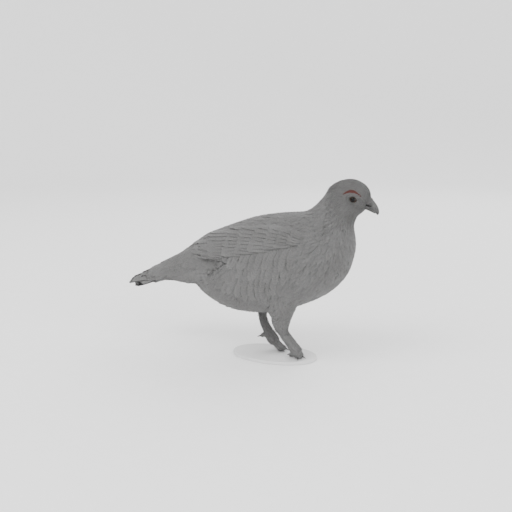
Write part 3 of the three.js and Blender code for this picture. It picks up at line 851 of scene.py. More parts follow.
class TailRoof:
    """The folded tail's upper and lower surfaces."""

    span = 0.56  # the lower coverts' share of the tail's width
    droop = 1.5  # how late the roof falls off towards its edges
    sag = 1.6  # how much lower the underside's middle lies than its edges, mm
    clear = 4.9  # how far the underside keeps below the roof, mm

    @staticmethod
    def at(share: np.ndarray, across: np.ndarray, deep: np.ndarray) -> np.ndarray:
        """Points of the roof: along it, across it from right (-1) to left (1), and how deep."""
        x, top, half, right, left = along(TAIL, share * (len(TAIL) - 1)).T
        edge = np.where(across < 0, right, left)
        slope = np.arctan2((top - edge) * 1.4 * np.abs(across) ** 0.5, half)
        y = half * across - np.sign(across) * np.sin(slope) * deep
        fall = (top - edge) * np.abs(across) ** TailRoof.droop
        return np.stack([x, y, top - fall - np.cos(slope) * deep], -1)

    @staticmethod
    def vent(share: np.ndarray, across: np.ndarray, deep: np.ndarray) -> np.ndarray:
        """Points of the underside between the tail's edges, and how deep they lie inside it."""
        x, _, half, right, left = along(TAIL, share * (len(TAIL) - 1)).T
        z = right + (left - right) * (across + 1) / 2 + 0.6 - TailRoof.sag * (1 - across * across)
        under = TailRoof.at(share, across * TailRoof.span, np.full_like(share, TailRoof.clear))[:, 2]
        return np.stack([x, half * TailRoof.span * across, np.minimum(z, under) + deep], -1)


class LieField:
    """Which way the coat lies, and how close its feathers stand."""

    power = 4.0  # how soon a row of the table gives way to the next
    softness = 1.5  # mm

    def at(self, points: np.ndarray) -> tuple[np.ndarray, np.ndarray]:
        """Reads the field.

        Args:
            points: Points on or near the bird.

        Returns:
            Unit directions in the side view, and the distances between feathers.
        """
        away = np.hypot(points[:, None, 0] - LIE[None, :, 0], points[:, None, 2] - LIE[None, :, 1])
        weight = (away + self.softness) ** -self.power
        weight /= weight.sum(1, keepdims=True)
        heading = np.radians(LIE[:, 2])
        run = np.stack([weight @ np.cos(heading), np.zeros(len(points)), weight @ np.sin(heading)], -1)
        return unit(run), weight @ LIE[:, 3]


# ------------------------------------------------------------------ feathers
@dataclass(frozen=True)
class VaneBuild:
    """How one kind of feather is meshed."""

    long: int = 5  # faces from root to tip
    across: int = 8
    root: float = 0.5  # width at the root as a share of the widest
    tip: float = 0.55  # and at the tip
    round: float = 0.2  # how far the edges fall back from the tip, as a share of the length
    fray: float = 0.1  # how uneven the tip's edge is
    cup: float = 0.24  # how far the edges bend down, as a share of the half-width
    thick: float = 0.14  # mm at the shaft
    ease: float = 0.65  # how soon the vane rises from its root
    full: float = 0.45  # by what share of its length it is at its widest
    curve: float = 2.2  # how late its edges turn in
    sway: float = 0.05  # how far a feather may bend sideways, as a share of its length

    def faces(self) -> tuple[np.ndarray, np.ndarray]:
        """The corners of one feather's faces in a row, and where each face starts.

        The upper side is a grid. The lower side runs from its rim to points under the shaft.
        """
        rows, columns = self.long + 1, self.across + 1
        grid = np.arange(rows * columns).reshape(rows, columns)
        keel = rows * columns + np.arange(-1, rows - 1)
        upper = np.stack([grid[:-1, :-1], grid[:-1, 1:], grid[1:, 1:], grid[1:, :-1]], -1)
        faces = upper.reshape(-1, 4).tolist()
        for j in range(1, rows - 2):
            faces.append([grid[j, 0], grid[j + 1, 0], keel[j + 1], keel[j]])
            faces.append([grid[j, -1], keel[j], keel[j + 1], grid[j + 1, -1]])
        for j, edge, way in ((1, 0, 1), (rows - 2, rows - 1, -1)):
            rim = [grid[j, 0], *grid[edge], grid[j, -1]][::way]
            faces += [[keel[j], second, first][::-1] for first, second in zip(rim, rim[1:])]
        sizes = [len(face) for face in faces]
        return np.concatenate(faces).astype(np.int32), np.cumsum([0, *sizes[:-1]]).astype(np.int32)


@dataclass
class FeatherBatch:
    """Feathers of one kind: their middle lines on a surface, and what sets each one apart."""

    centre: np.ndarray  # feathers x rows x 3
    normal: np.ndarray
    half: np.ndarray
    sink: np.ndarray  # the root's lift off the surface
    rise: np.ndarray  # and the tip's
    tilt: np.ndarray  # how much higher one edge lies than the other
    # each feather's own tone; on the coat also painted shade near the eyes' folds and the creases
    tint: np.ndarray
    patch: np.ndarray  # place on the unwrap

    def pick(self, mask: np.ndarray) -> "FeatherBatch":
        """The feathers that a mask names."""
        return FeatherBatch(*(getattr(self, key)[mask] for key in self.__dataclass_fields__))


class Unwrap:
    """The skin unrolled: along the body's axis and round it, with a strip for each leg."""

    legs = {
        Side.RIGHT: np.array([[53, -24, 76], [51, -17, 46], [51, -15, 34], [63, -11, 16], [71, -10, 5]]),
        Side.LEFT: np.array([[26, 25, 76], [13, 18, 47], [16, 15, 36], [27, 11.5, 19], [44, 11, 5]]),
    }

    def __init__(self) -> None:
        """Samples the axes."""
        places = np.linspace(0, len(STATIONS) - 1, 160)
        rows = along(STATIONS, places)
        body = np.stack([(rows[:, 0] + rows[:, 2]) / 2, 0 * places, (rows[:, 1] + rows[:, 3]) / 2], -1)
        tail = np.stack([along(TAIL, np.linspace(1, 5, 40))[:, k] for k in (0, 0, 1)], -1)
        tail[:, 1] = 0
        self.axes = [np.vstack([body, tail])]
        self.axes += [along(rows, np.linspace(0, len(rows) - 1, 60)) for rows in self.legs.values()]
        self.strips = [(0.0, 0.8), (0.81, 0.09), (0.91, 0.09)]

    def at(self, points: np.ndarray) -> np.ndarray:
        """Each point's place on the unwrap."""
        on_leg = points[:, 2] < LEG_TOP - 2
        which = np.where(~on_leg, 0, np.where(points[:, 1] < 0, 1, 2))
        places = np.zeros((len(points), 2))
        for k, (axis, (start, width)) in enumerate(zip(self.axes, self.strips)):
            mine = which == k
            if not mine.any():
                continue
            away = np.linalg.norm(points[mine, None] - axis[None], axis=2)
            near = away.argmin(1)
            off = points[mine] - axis[near]
            run = unit(np.gradient(axis, axis=0))[near]
            up = unit(np.cross(run, [0.0, 1.0, 0.0]))
            turn = np.arctan2(off[:, 1], (off * up).sum(1)) / (2 * math.pi) + 0.5
            places[mine, 0] = start + width * turn
            places[mine, 1] = near / (len(axis) - 1)
        return places * (1 - PATCH)


def grow(name: str, batch: FeatherBatch, build: VaneBuild, rng: Generator) -> Object:
    """Makes one joined mesh of a batch of feathers, each a thin closed vane.

    Args:
        name: The piece's name.
        batch: The feathers.
        build: How each is meshed.
        rng: Draws the tips' unevenness.

    Returns:
        The piece.
    """
    count, rows = batch.centre.shape[:2]
    columns = build.across + 1
    share = np.linspace(0, 1, rows)
    side = np.linspace(-1, 1, columns)
    run = np.gradient(batch.centre, axis=1)
    run = unit(run - (run * batch.normal).sum(-1, keepdims=True) * batch.normal)
    cross = np.cross(run, batch.normal)
    length = np.linalg.norm(np.diff(batch.centre, axis=1), axis=-1).sum(1)
    widen = build.root + (1 - build.root) * smooth_step(share / build.full)
    taper = 1 - (1 - build.tip) * np.clip((share - 0.5) / 0.5, 0, 1) ** build.curve
    wide = batch.half[:, None, None] * (widen * taper)[None, :, None]
    back = -build.round * share[None, :, None] * np.abs(side[None, None, :]) ** build.curve
    ragged = rng.random((count, rows, columns)) * build.fray
    ragged *= (np.clip((share - (1 - build.full)) / build.full, 0, 1) ** 2)[None, :, None]
    shift = (back - ragged) * length[:, None, None]
    aside = rng.normal(0, build.sway, (count, 1, 1)) * length[:, None, None] * share[None, :, None] ** 2
    level = batch.sink[:, None] + (batch.rise - batch.sink)[:, None] * share[None] ** build.ease
    tilted = batch.tilt[:, None, None] * side[None, None] * smooth_step(share * 1.6)[None, :, None]
    level = level[..., None] + tilted / 2 - build.cup * wide * side[None, None] ** 2
    top = (
        batch.centre[:, :, None]
        + run[:, :, None] * shift[..., None]
        + cross[:, :, None] * (wide * side[None, None] + aside)[..., None]
        + batch.normal[:, :, None] * level[..., None]
    )
    body = build.thick * (1 - 0.5 * share[1:-1, None])
    under = top[:, 1:-1, columns // 2] - batch.normal[:, 1:-1] * body[None]
    points = np.concatenate([top.reshape(count, -1, 3), under], 1)
    each = points.shape[1]
    corners, starts = build.faces()
    loops = (np.arange(count)[:, None] * each + corners[None]).ravel()
    vane_uv = np.full((each, 2), 0.5)
    vane_uv[: rows * columns] = np.stack(np.meshgrid(side / 2 + 0.5, share), -1).reshape(-1, 2)
    vane_uv[rows * columns :, 1] = share[1:-1]
    mesh = bpy.data.meshes.new(name)
    mesh.vertices.add(count * each)
    mesh.vertices.foreach_set("co", ((points.reshape(-1, 3) + ORIGIN) * MM).astype(np.float32).ravel())
    mesh.loops.add(len(loops))
    mesh.loops.foreach_set("vertex_index", loops.astype(np.int32))
    mesh.polygons.add(count * len(starts))
    begins = (np.arange(count)[:, None] * len(corners) + starts[None]).ravel()
    mesh.polygons.foreach_set("loop_start", begins.astype(np.int32))
    mesh.update(calc_edges=True)
    mesh.shade_smooth()
    vanes = np.broadcast_to(vane_uv[corners], (count, len(corners), 2))
    patches = batch.patch[:, None, :] + vanes * PATCH
    mesh.uv_layers.new(name="OFBake").data.foreach_set("uv", patches.astype(np.float32).ravel())
    mesh.uv_layers.new(name="Vane").data.foreach_set("uv", vanes.astype(np.float32).ravel())
    tint = mesh.attributes.new("tint", "FLOAT", "POINT")
    tint.data.foreach_set("value", np.repeat(batch.tint, each).astype(np.float32))
    return link(name, mesh)


@dataclass
class Coat:
    """The small feathers all over the bird."""

    form: BirdForm
    unwrap: Unwrap
    lie: LieField
    rng: Generator
    candidates: int = 420000
    crowded: tuple[float, float] = (5.0, 4.0)  # how much denser they are on the legs and the head
    head_from: tuple[float, float] = (104.0, 160.0)  # x and z
    neck_from: float = 84.0  # x
    back_from: float = 118.0  # z
    most: int = 185000  # triangles in one piece
    lid_free: float = 0.74  # free of feathers round an eye, as a share of the fold's size
    comb_free: float = 0.35  # and round the combs' ridges, the bill, nostrils and creases, mm
    bill_free: float = 5.6
    slit_free: float = 0.5
    crease_free: float = 0.7

    def _sow(self) -> np.ndarray:
        """Roots set apart by the distances that the lie field gives."""
        corners = self.form.points[self.form.quads]
        area = np.linalg.norm(self.form.face_normals(), axis=1)
        head = np.where(corners[:, 0, 0] > 108, self.crowded[1], 1.0)
        dense = area * np.where(corners[:, 0, 2] < LEG_TOP, self.crowded[0], head)
        chosen = self.rng.choice(len(area), self.candidates, p=dense / dense.sum())
        u, v = self.rng.random((2, self.candidates, 1))
        quad = corners[chosen]
        near, far = quad[:, 0] * (1 - u) + quad[:, 1] * u, quad[:, 3] * (1 - u) + quad[:, 2] * u
        points = near * (1 - v) + far * v
        points = points[self._coated(points)]
        _, spacing = self.lie.at(points)
        tree = KDTree(len(points))
        for k, point in enumerate(points):
            tree.insert(point, k)
        tree.balance()
        free = np.ones(len(points), bool)
        kept = []
        for k in np.argsort(-points[:, 0] - 0.4 * points[:, 2] + self.rng.random(len(points)) * 3):
            if free[k]:
                kept.append(k)
                for _, other, _ in tree.find_range(points[k], float(spacing[k])):
                    free[other] = False
        return points[kept]

    def _coated(self, points: np.ndarray) -> np.ndarray:
        """Masks off the lids, the combs, the bill's root and what longer feathers hide."""
        x, y, z = points[:, 0], np.abs(points[:, 1]), points[:, 2]
        eye = orbit_share(points) < self.lid_free
        rear, rear_z, front, front_z = COMB_ARC
        arc = np.clip((x - rear) / (front - rear), 0, 1)
        ridge = rear_z + (front_z - rear_z) * arc + COMB_RISE * np.sin(math.pi * arc)
        comb = (np.abs(z - ridge) < self.comb_free) & (x > rear + 2.5) & (x < front - 2.5) & (y > 8)
        bill = (points - FACE_AT) @ FACE_RUN > 0.1
        bill &= np.hypot(y, (z - FACE_AT[2]) * 0.9) < self.bill_free
        wing = inside(WING_AREA, x, z) & (y > 20)
        flank = inside(FLANK_AREA, x, z) & (y > 30)
        slit = (x > 135) & (away_from(NOSTRIL, x, z) < self.slit_free)
        crease = (crease_share(points) < self.crease_free) & (y > SIDE_FROM)
        return ~(eye | comb | bill | slit | crease | wing | flank)

    def _grown(
        self, roots: np.ndarray, rows: int, reach: np.ndarray, wide: np.ndarray, lift: float
    ) -> FeatherBatch:
        """Lays a feather from each root along the lie of the coat.

        Args:
            roots: Where they grow.
            rows: Points on each middle line.
            reach: Lengths.
            wide: Half-widths.
            lift: How far the tips stand off, as a factor.

        Returns:
            The batch.
        """
        heading, spacing = self.lie.at(roots)
        heading = heading + self.rng.normal(0, 0.11, heading.shape)
        centre = np.empty((len(roots), rows, 3))
        normal = np.empty_like(centre)
        point, run = roots, heading
        for j in range(rows):
            point, out = self.form.snap_all(point)
            centre[:, j], normal[:, j] = point, out
            run = unit(run - out * (run * out).sum(1, keepdims=True))
            point = point + run * reach[:, None] / (rows - 1)
        count = len(roots)
        jitter = self.rng.normal(0, 1, (3, count))
        # Painted shade: feathers rooted along the fold round an eye and along the creases by the wing's tip
        # get darker tints.
        fold, crease = bell(orbit_share(roots) - 0.98, 0.1), bell(crease_share(roots), 1.8)
        return FeatherBatch(
            centre, normal, wide,
            sink=-0.3 * spacing - 0.1,
            rise=lift * (0.03 + 0.05 * spacing) * (1 + 0.4 * jitter[0]),
            tilt=0.08 * spacing * jitter[1],
            tint=1 + 0.06 * jitter[2] - 0.3 * fold - 0.4 * crease,
            patch=self.unwrap.at(roots),
        )

    def build(self, plumage: Material, face: Material, down: Material) -> None:
        """Sows and grows the coat, a piece or more to a region.

        Args:
            plumage: The body's finish.
            face: The head's.
            down: The legs'.
        """
        roots = self._sow()
        _, spacing = self.lie.at(roots)
        spread = 1 + self.rng.normal(0, 0.07, len(roots))
        x, z = roots[:, 0], roots[:, 2]
        leg = z < LEG_TOP
        head = ~leg & (x > self.head_from[0]) & (z > self.head_from[1])
        neck = ~leg & ~head & (x > self.neck_from)
        rear = ~leg & ~head & ~neck
        plain = VaneBuild()
        short = VaneBuild(long=4, across=4, root=0.7, tip=0.34, fray=0.3, thick=0.06, cup=0.3, sway=0.09)
        hair = VaneBuild(
            long=4, across=2, root=0.7, tip=0.14, round=0.1, fray=0.2, thick=0.09, cup=0.3, sway=0.1
        )
        regions = {  # where, the vane, length and half-width in spacings, the tips' lift, finish
            "coat_head": (head, short, 4.6, 0.48, 2.0, face),
            "coat_legs": (leg, hair, 5.2, 0.4, 3.4, down),
            "coat_neck": (neck, plain, 3.9, 0.8, 1.4, plumage),
            "coat_back": (rear & (z >= self.back_from), plain, 3.8, 0.84, 1.3, plumage),
            "coat_belly": (rear & (z < self.back_from), plain, 3.8, 0.84, 1.5, plumage),
        }
        for name, (mask, build, long, half, lift, finish) in regions.items():
            reach = long * spacing[mask] * spread[mask]
            wide = half * spacing[mask] * spread[mask]
            batch = self._grown(roots[mask], build.long + 1, reach, wide, lift)
            corners, starts = build.faces()
            triangles = (len(corners) - 2 * len(starts)) * len(reach)
            parts = math.ceil(triangles / self.most)
            order = np.argsort(batch.centre[:, 0, 0])
            for k, chosen in enumerate(np.array_split(order, parts), 1):
                label = name if parts == 1 else f"{name}_{k}"
                dress(grow(label, batch.pick(chosen), build, self.rng), finish)


@dataclass(frozen=True)
class SideTier:
    """Feathers side by side along a flank or wing, from the first one to the last."""

    count: int
    first: tuple[float, float, float, float]  # root x, z and tip x, z
    last: tuple[float, float, float, float]
    half: float
    sink: float
    rise: float
    tilt: float  # positive lifts the lower edge, or the front one where a feather hangs down
    bow: float = 0.0  # how far the middle of a feather bends forward and up
    uneven: float = 0.35  # mm


@dataclass
class SideFeathers:
    """The long feathers that lie over both sides of the bird, a piece to a side."""

    form: BirdForm
    unwrap: Unwrap
    rng: Generator
    part: str = ""
    solid: bool = False  # whether a piece stands for the solid of its part's name
    vane: VaneBuild = VaneBuild()
    loose: float = 0.15  # how much higher a tip may stand, mm
    tint: float = 0.05  # spread of the feathers' own tints
    tiers: tuple = ()

    def _batch(self, side: Side) -> FeatherBatch:
        """Lays the tiers of one side."""
        rows = self.vane.long + 1
        down = np.linspace(0, 1, rows)[:, None]
        lines, halves, lifts = [], [], []
        for tier in self.tiers:
            for share in np.linspace(0, 1, tier.count):
                ends = np.array(tier.first) * (1 - share) + np.array(tier.last) * share
                ends = ends + self.rng.normal(0, tier.uneven, 4)
                line = ends[:2] * (1 - down) + ends[2:] * down
                run = unit(ends[2:] - ends[:2])
                lines.append(line + np.array([-run[1], run[0]]) * (-tier.bow) * np.sin(math.pi * down))
                halves.append(tier.half)
                lifts.append((tier.sink, tier.rise + self.loose * self.rng.random(), tier.tilt))
        found = [[self.form.from_side(x, z, side) for x, z in line] for line in lines]
        centre = np.array([[point for point, _ in line] for line in found])
        normal = np.array([[out for _, out in line] for line in found])
        sink, rise, tilt = np.array(lifts).T
        return FeatherBatch(
            centre, normal, np.array(halves), sink, rise,
            tilt=tilt * side.value,
            tint=1 + self.tint * self.rng.normal(0, 1, len(lines)),
            patch=self.unwrap.at(centre[:, 0]),
        )

    def build(self, material: Material) -> None:
        """Makes the two pieces."""
        for side in Side:
            label = f"{self.part}_{side.label}"
            piece = grow(f"feathers_{label}", self._batch(side), self.vane, self.rng)
            dress(piece, material, nodes=[label] if self.solid else [])


@dataclass
class Wings(SideFeathers):
    """Both folded wings: scapulars, coverts in tiers, secondaries and the tips."""

    part: str = "wing"
    solid: bool = True
    vane: VaneBuild = VaneBuild(
        long=9, across=8, root=0.6, tip=0.66, round=0.1, fray=0.03, cup=0.12, thick=0.25, sway=0.01
    )
    tiers: tuple = (
        SideTier(2, (12, 118.5, -26, 119.5), (8, 120, -34, 120.5), 3.6, -1.4, 0.9, 1.2),
        SideTier(3, (2, 127, -63, 121), (0, 124, -52, 118), 3.4, -0.8, 1.2, 1.6),
        SideTier(9, (-8, 148, -66, 130.5), (-4, 126, -55, 119.5), 4.4, -1.0, 0.5, 0.4, 0.0, 1.4),
        SideTier(9, (14, 154, -42, 143), (12, 128, -32, 121), 4.2, -0.8, 1.3, 0.8),
        SideTier(9, (34, 157, -14, 151), (28, 132, -14, 124), 4.2, -0.7, 1.4, 0.8),
        SideTier(8, (48, 157, 6, 154), (42, 135, 4, 129), 4.2, -0.7, 1.5, 0.8),
        SideTier(7, (58, 157, 26, 157), (54, 137, 20, 133), 4.0, -0.7, 1.5, 0.8),
        SideTier(7, (68, 156, 42, 158), (64, 140, 38, 137), 3.8, -0.7, 1.5, 0.7),
        SideTier(6, (78, 153, 56, 157), (73, 142, 52, 140), 3.5, -0.7, 1.4, 0.7),
        SideTier(5, (86, 150, 68, 156), (83, 144, 66, 144), 3.1, -0.7, 1.4, 0.6),
        SideTier(9, (60, 160.5, 36, 156.5), (-22, 151, -47, 138), 4.4, -1.3, 0.9, -0.3),
    )


@dataclass
class Flanks(SideFeathers):
    """The flanks' long feathers, which hang down and back over the wings' lower edges."""

    part: str = "flank"
    vane: VaneBuild = VaneBuild(
        long=10, across=10, root=0.6, tip=0.74, round=0.16, fray=0.05, cup=0.16, thick=0.2, sway=0.03
    )
    tiers: tuple = (
        SideTier(9, (40, 100, 46, 68), (-4, 100, -30, 84), 4.8, -1.3, 0.6, -0.7, 1.8, 1.2),
        SideTier(12, (66, 122, 54, 82), (4, 116, -29, 94), 5.0, -1.3, 0.3, -0.7, 2.4, 1.0),
        SideTier(12, (76, 136, 63, 96), (10, 128, -23, 102), 5.0, -1.3, 0.5, -0.9, 2.8, 1.0),
        SideTier(12, (82, 148, 70, 112), (14, 138, -13, 109), 5.0, -1.3, 0.8, -1.0, 2.8, 1.0),
        SideTier(4, (20, 114, -18, 93), (12, 119.6, -22, 99.4), 4.6, -1.2, 1.4, -1.7, 0.6, 0.3),
    )


@dataclass(frozen=True)
class TailRow:
    """Feathers on both sides of the tail's ridge, or across its underside."""

    count: int  # on each side
    inner: float  # the first one's place across the tail, and the last one's
    outer: float
    half: float  # share of the tail's half-width
    start: float  # the roots' place along the tail, and the tips'
    end: float
    deep: float
    rise: float
    tilt: float
    shorter: float = 0.0  # how much sooner the outermost one ends


@dataclass
class Tail:
    """The folded tail: dark tail feathers between long upper and lower coverts."""

    unwrap: Unwrap
    rng: Generator
    vane: VaneBuild = VaneBuild(
        long=9, across=8, root=0.6, tip=0.84, round=0.05, fray=0.012, cup=0.1, thick=0.25, sway=0.0
    )
    upper: tuple = (
        TailRow(4, 0.08, 0.86, 0.17, 0.5, 0.9, 3.2, 1.5, 0.6, 0.05),
        TailRow(5, 0.06, 0.92, 0.15, 0.38, 0.74, 3.0, 1.9, 0.6, 0.04),
        TailRow(5, 0.1, 0.94, 0.15, 0.24, 0.6, 3.0, 2.2, 0.6, 0.03),
        TailRow(5, 0.06, 0.94, 0.14, 0.1, 0.46, 2.8, 2.3, 0.5, 0.02),
        TailRow(5, 0.1, 0.94, 0.15, 0.0, 0.34, 2.4, 1.6, 0.5),
    )
    rectrices: tuple = (TailRow(7, 0.07, 0.88, 0.16, 0.2, 1.0, 4.2, 1.7, 0.4, 0.004),)
    lower: tuple = (
        TailRow(4, 0.12, 0.94, 0.24, 0.34, 0.78, 1.4, 1.5, 0.5),
        TailRow(4, 0.14, 0.94, 0.24, 0.2, 0.62, 1.2, 1.9, 0.5),
        TailRow(4, 0.12, 0.94, 0.24, 0.06, 0.46, 1.0, 2.2, 0.5),
        TailRow(4, 0.14, 0.9, 0.24, -0.06, 0.3, 1.0, 2.2, 0.5),
    )
    sink: float = -0.4
    uneven: tuple[float, float] = (0.008, 0.006)  # of their places across the tail, and their tips
    tint: float = 0.05  # spread of the feathers' own tints
    step: float = 0.01  # the small way over which the surface's slope is read

    def _batch(self, rows: Sequence[TailRow], surface: Callable, out: int) -> FeatherBatch:
        """Lays rows of feathers on one face of the tail.

        Args:
            rows: The rows.
            surface: Takes share, across and depth.
            out: 1 for the roof, -1 for the underside.

        Returns:
            The batch.
        """
        points, step = self.vane.long + 1, self.step
        widest = along(TAIL, np.array(2.0))[2]
        centres, normals, halves, lifts = [], [], [], []
        for row in rows:
            for side in Side:
                for share in np.linspace(0, 1, row.count):
                    at = row.inner + (row.outer - row.inner) * share
                    at = side.value * at + self.rng.normal(0, self.uneven[0])
                    end = row.end - row.shorter * share + self.rng.normal(0, self.uneven[1])
                    run = np.linspace(row.start, end, points)
                    across = np.full(points, at)
                    deep = np.full(points, row.deep)
                    ahead = surface(run + step, across, deep) - surface(run - step, across, deep)
                    aside = surface(run, across + step, deep) - surface(run, across - step, deep)
                    normal = unit(np.cross(ahead, aside))
                    centres.append(surface(run, across, deep))
                    normals.append(normal * np.sign(normal[:, 2:3]) * out)
                    halves.append(row.half * widest)
                    lifts.append((row.rise, row.tilt * side.value * -out))
        rise, tilt = np.array(lifts).T
        centre = np.array(centres)
        return FeatherBatch(
            centre, np.array(normals), np.array(halves),
            sink=np.full(len(centre), self.sink), rise=rise, tilt=tilt,
            tint=1 + self.tint * self.rng.normal(0, 1, len(centre)),
            patch=self.unwrap.at(centre[:, 0]),
        )

    def build(self, material: Material, dark: Material) -> None:
        """Makes the tail's three pieces."""
        for part, rows, surface, out in (
            ("tail_coverts", self.upper, TailRoof.at, 1),
            ("tail", self.rectrices, TailRoof.at, 1),
            ("undertail", self.lower, TailRoof.vent, -1),
        ):
            finish, slot = (dark, "dark_tail_feathers") if part == "tail" else (material, PLUMAGE_SLOT)
            piece = grow(f"feathers_{part}", self._batch(rows, surface, out), self.vane, self.rng)
            dress(piece, finish, [part])


@dataclass
class Skin:
    """One skin for all of the flesh, inside the coat by its depth."""

    form: BirdForm
    lie: LieField
    under: tuple[float, float] = (0.3, 0.25)  # its depth: a share of the feathers' spacing, and mm
    cup: float = 4.2  # how deep the eyes' cups are
    cup_wide: float = 8.2
    cup_edge: float = 3.0

    def build(self, material: Material) -> None:
        """Makes the skin and lets it stand for the solids of flesh."""
        _, spacing = self.lie.at(self.form.points)
        depth = self.under[0] * spacing + self.under[1]
        for side in Side:
            eye = EYE_AT * (1, side.value, 1)
            near = np.linalg.norm(self.form.points - eye, axis=1)
            depth = depth + self.cup * smooth_step((self.cup_wide - near) / self.cup_edge)
        points = self.form.points - self.form.normals * depth[:, None]
        mesh = bpy.data.meshes.new("skin")
        mesh.from_pydata(((points + ORIGIN) * MM).tolist(), [], self.form.quads.tolist())
        mesh.shade_smooth()
        flesh = ["head", "neck", "torso"]
        flesh += [f"{part}_{side.label}" for part in ("thigh", "shank", "foot") for side in Side]
        dress(link("skin", mesh), material, nodes=flesh)


# ------------------------------------------------------------------ the head's bare parts
@dataclass
class Eye:
    """An eyeball with its cornea, between two lids."""

    form: BirdForm
    side: Side
    rng: Generator
    unwrap: Unwrap
    opening: tuple[float, float] = (3.9, 3.05)  # half-length and half-height between the lids
    lids: tuple = (  # rings from inside out: longer and higher than the opening, corner, off the ball
        (-0.1, -0.15, 0.05, -0.4),
        (-0.05, -0.05, 0.06, 0.18),
        (0.12, 0.1, 0.08, 0.42),
        (0.3, 0.27, 0.1, 0.42),
        (0.46, 0.42, 0.12, 0.16),
        (0.68, 0.62, 0.14, 0.28),
        (0.92, 0.84, 0.16, 0.22),
    )
    cornea: float = 0.05  # how far it stands proud, as a share of the radius
    vane: VaneBuild = VaneBuild(
        long=3, across=4, root=0.7, tip=0.3, fray=0.3, thick=0.05, cup=0.3, sway=0.08
    )
    rows: int = 5  # of tiny feathers on the lids
    rim: tuple = (0.62, 0.56, 0.12, 0.3)  # the ring where they start
    reach: tuple = (2.6, 2.3, 0.2, None, -0.1)  # and the one that they point to
    row_step: float = 0.21  # as shares of the way between the two
    row_long: float = 0.5
    cuff: tuple = (1.7, 1.5, 0.2, None, 0.8)  # the lids' last ring, under the skin
    around: int = 72

    def __post_init__(self) -> None:
        """Sets the eye's own axes."""
        self.centre = EYE_AT * (1, self.side.value, 1)
        self.look = np.array([math.sin(EYE_TURN), self.side.value * math.cos(EYE_TURN), 0.0])
        self.ahead = np.array([math.cos(EYE_TURN), -self.side.value * math.sin(EYE_TURN), 0.0])
        self.up = np.array([0.0, 0.0, 1.0])

    def build(self, lid_material: Material, plumage: Material) -> None:
        """Makes the eyeball, the lids and the tiny feathers on them."""
        self._ball()
        self._lids(lid_material)
        self._rim(plumage)

    def _ball(self) -> None:
        """The eyeball, its cornea a little proud."""
        shape = bmesh.new()
        bmesh.ops.create_uvsphere(shape, u_segments=56, v_segments=40, radius=EYE_RADIUS)
        for vert in shape.verts:
            height = vert.co.z / EYE_RADIUS
            vert.co *= 1 + self.cornea * float(smooth_step(np.array((height - 0.72) / 0.28)))
        turn = Vector((0, 0, 1)).rotation_difference(Vector(self.look)).to_matrix()
        bmesh.ops.rotate(shape, verts=shape.verts, matrix=turn)
        bmesh.ops.translate(shape, verts=shape.verts, vec=Vector(self.centre))
        finish = EyeFinish(
            f"eye_{self.side.label}_surface",
            tuple((self.centre + ORIGIN) * MM),
            tuple(self.look),
            EYE_RADIUS * MM,
        )
        ball = piece_from(f"eyeball_{self.side.label}", shape)
        dress(ball, finish.material(), [f"eye_{self.side.label}"])

    def _ring(
        self, longer: float, higher: float, corner: float, off: float | None, deep: float = 0.0
    ) -> np.ndarray:
        """A ring of the lids.

        Args:
            longer: How much longer than the opening it is on each side.
            higher: How much higher.
            corner: How pointed its corners are.
            off: Distance from the eyeball's surface, or None for a ring on the head.
            deep: How deep it lies under the head's surface.

        Returns:
            Its points.
        """
        turn = full_turn(self.around)
        cos, sin = np.cos(turn), np.sin(turn)
        flat = (self.opening[0] + longer) * cos
        tall = (self.opening[1] + higher) * np.sign(sin) * np.abs(sin) ** (1 + corner)
        ahead = flat * math.cos(EYE_SLANT) - tall * math.sin(EYE_SLANT)
        up = flat * math.sin(EYE_SLANT) + tall * math.cos(EYE_SLANT)
        plane = self.centre + ahead[:, None] * self.ahead + up[:, None] * self.up
        if off is not None:
            level = np.sqrt(np.maximum((EYE_RADIUS + off) ** 2 - ahead**2 - up**2, 0.2))
            return plane + self.look * level[:, None]
        found = [self.form.from_side(point[0], point[2], self.side) for point in plane]
        return np.array([hit - out * deep for hit, out in found])

    def _lids(self, material: Material) -> None:
        """Upper and lower lid as one bare ring with a rolled, beaded rim."""
        rings = [self._ring(*lid) for lid in self.lids]
        outer = self._ring(*self.cuff)
        rings += [rings[-1] * 0.55 + outer * 0.45 + self.look * 0.1, outer]
        dress(piece_from(f"lids_{self.side.label}", lofted(rings, capped=False), levels=1), material)

    def _rim(self, material: Material) -> None:
        """Rows of tiny feathers that radiate from the lids' rims."""
        inner, outer = self._ring(*self.rim), self._ring(*self.reach)
        away = unit(inner - self.centre)
        centre, normal = [], []
        for row in range(self.rows):
            for k in range(row % 2, self.around, 2):
                slant = self.rng.normal(0, 0.5)
                start = self.row_step * row + self.rng.uniform(-0.05, 0.05)
                line, outs = [], []
                for share in np.linspace(start, start + self.row_long, self.vane.long + 1):
                    turn = k + 5 * (share - start) * (math.sin(k * 2 * math.pi / self.around) + 0.3 * slant)
                    at, part = int(turn // 1), turn % 1
                    low, up = at % self.around, (at + 1) % self.around
                    near, far, out = (
                        ring[low] * (1 - part) + ring[up] * part for ring in (inner, outer, away)
                    )
                    line.append(near * (1 - share) + far * share)
                    outs.append(out * (1 - share) + self.look * share)
                centre.append(line)
                normal.append(outs)
        count = len(centre)
        centre = np.array(centre)
        batch = FeatherBatch(
            centre, unit(np.array(normal)), self.rng.uniform(0.22, 0.3, count),
            sink=np.full(count, -0.05), rise=self.rng.uniform(0.08, 0.16, count),
            tilt=self.rng.normal(0, 0.04, count), tint=1 + 0.06 * self.rng.normal(0, 1, count),
            patch=self.unwrap.at(centre[:, 0]),
        )
        dress(grow(f"feathers_lids_{self.side.label}", batch, self.vane, self.rng), material)


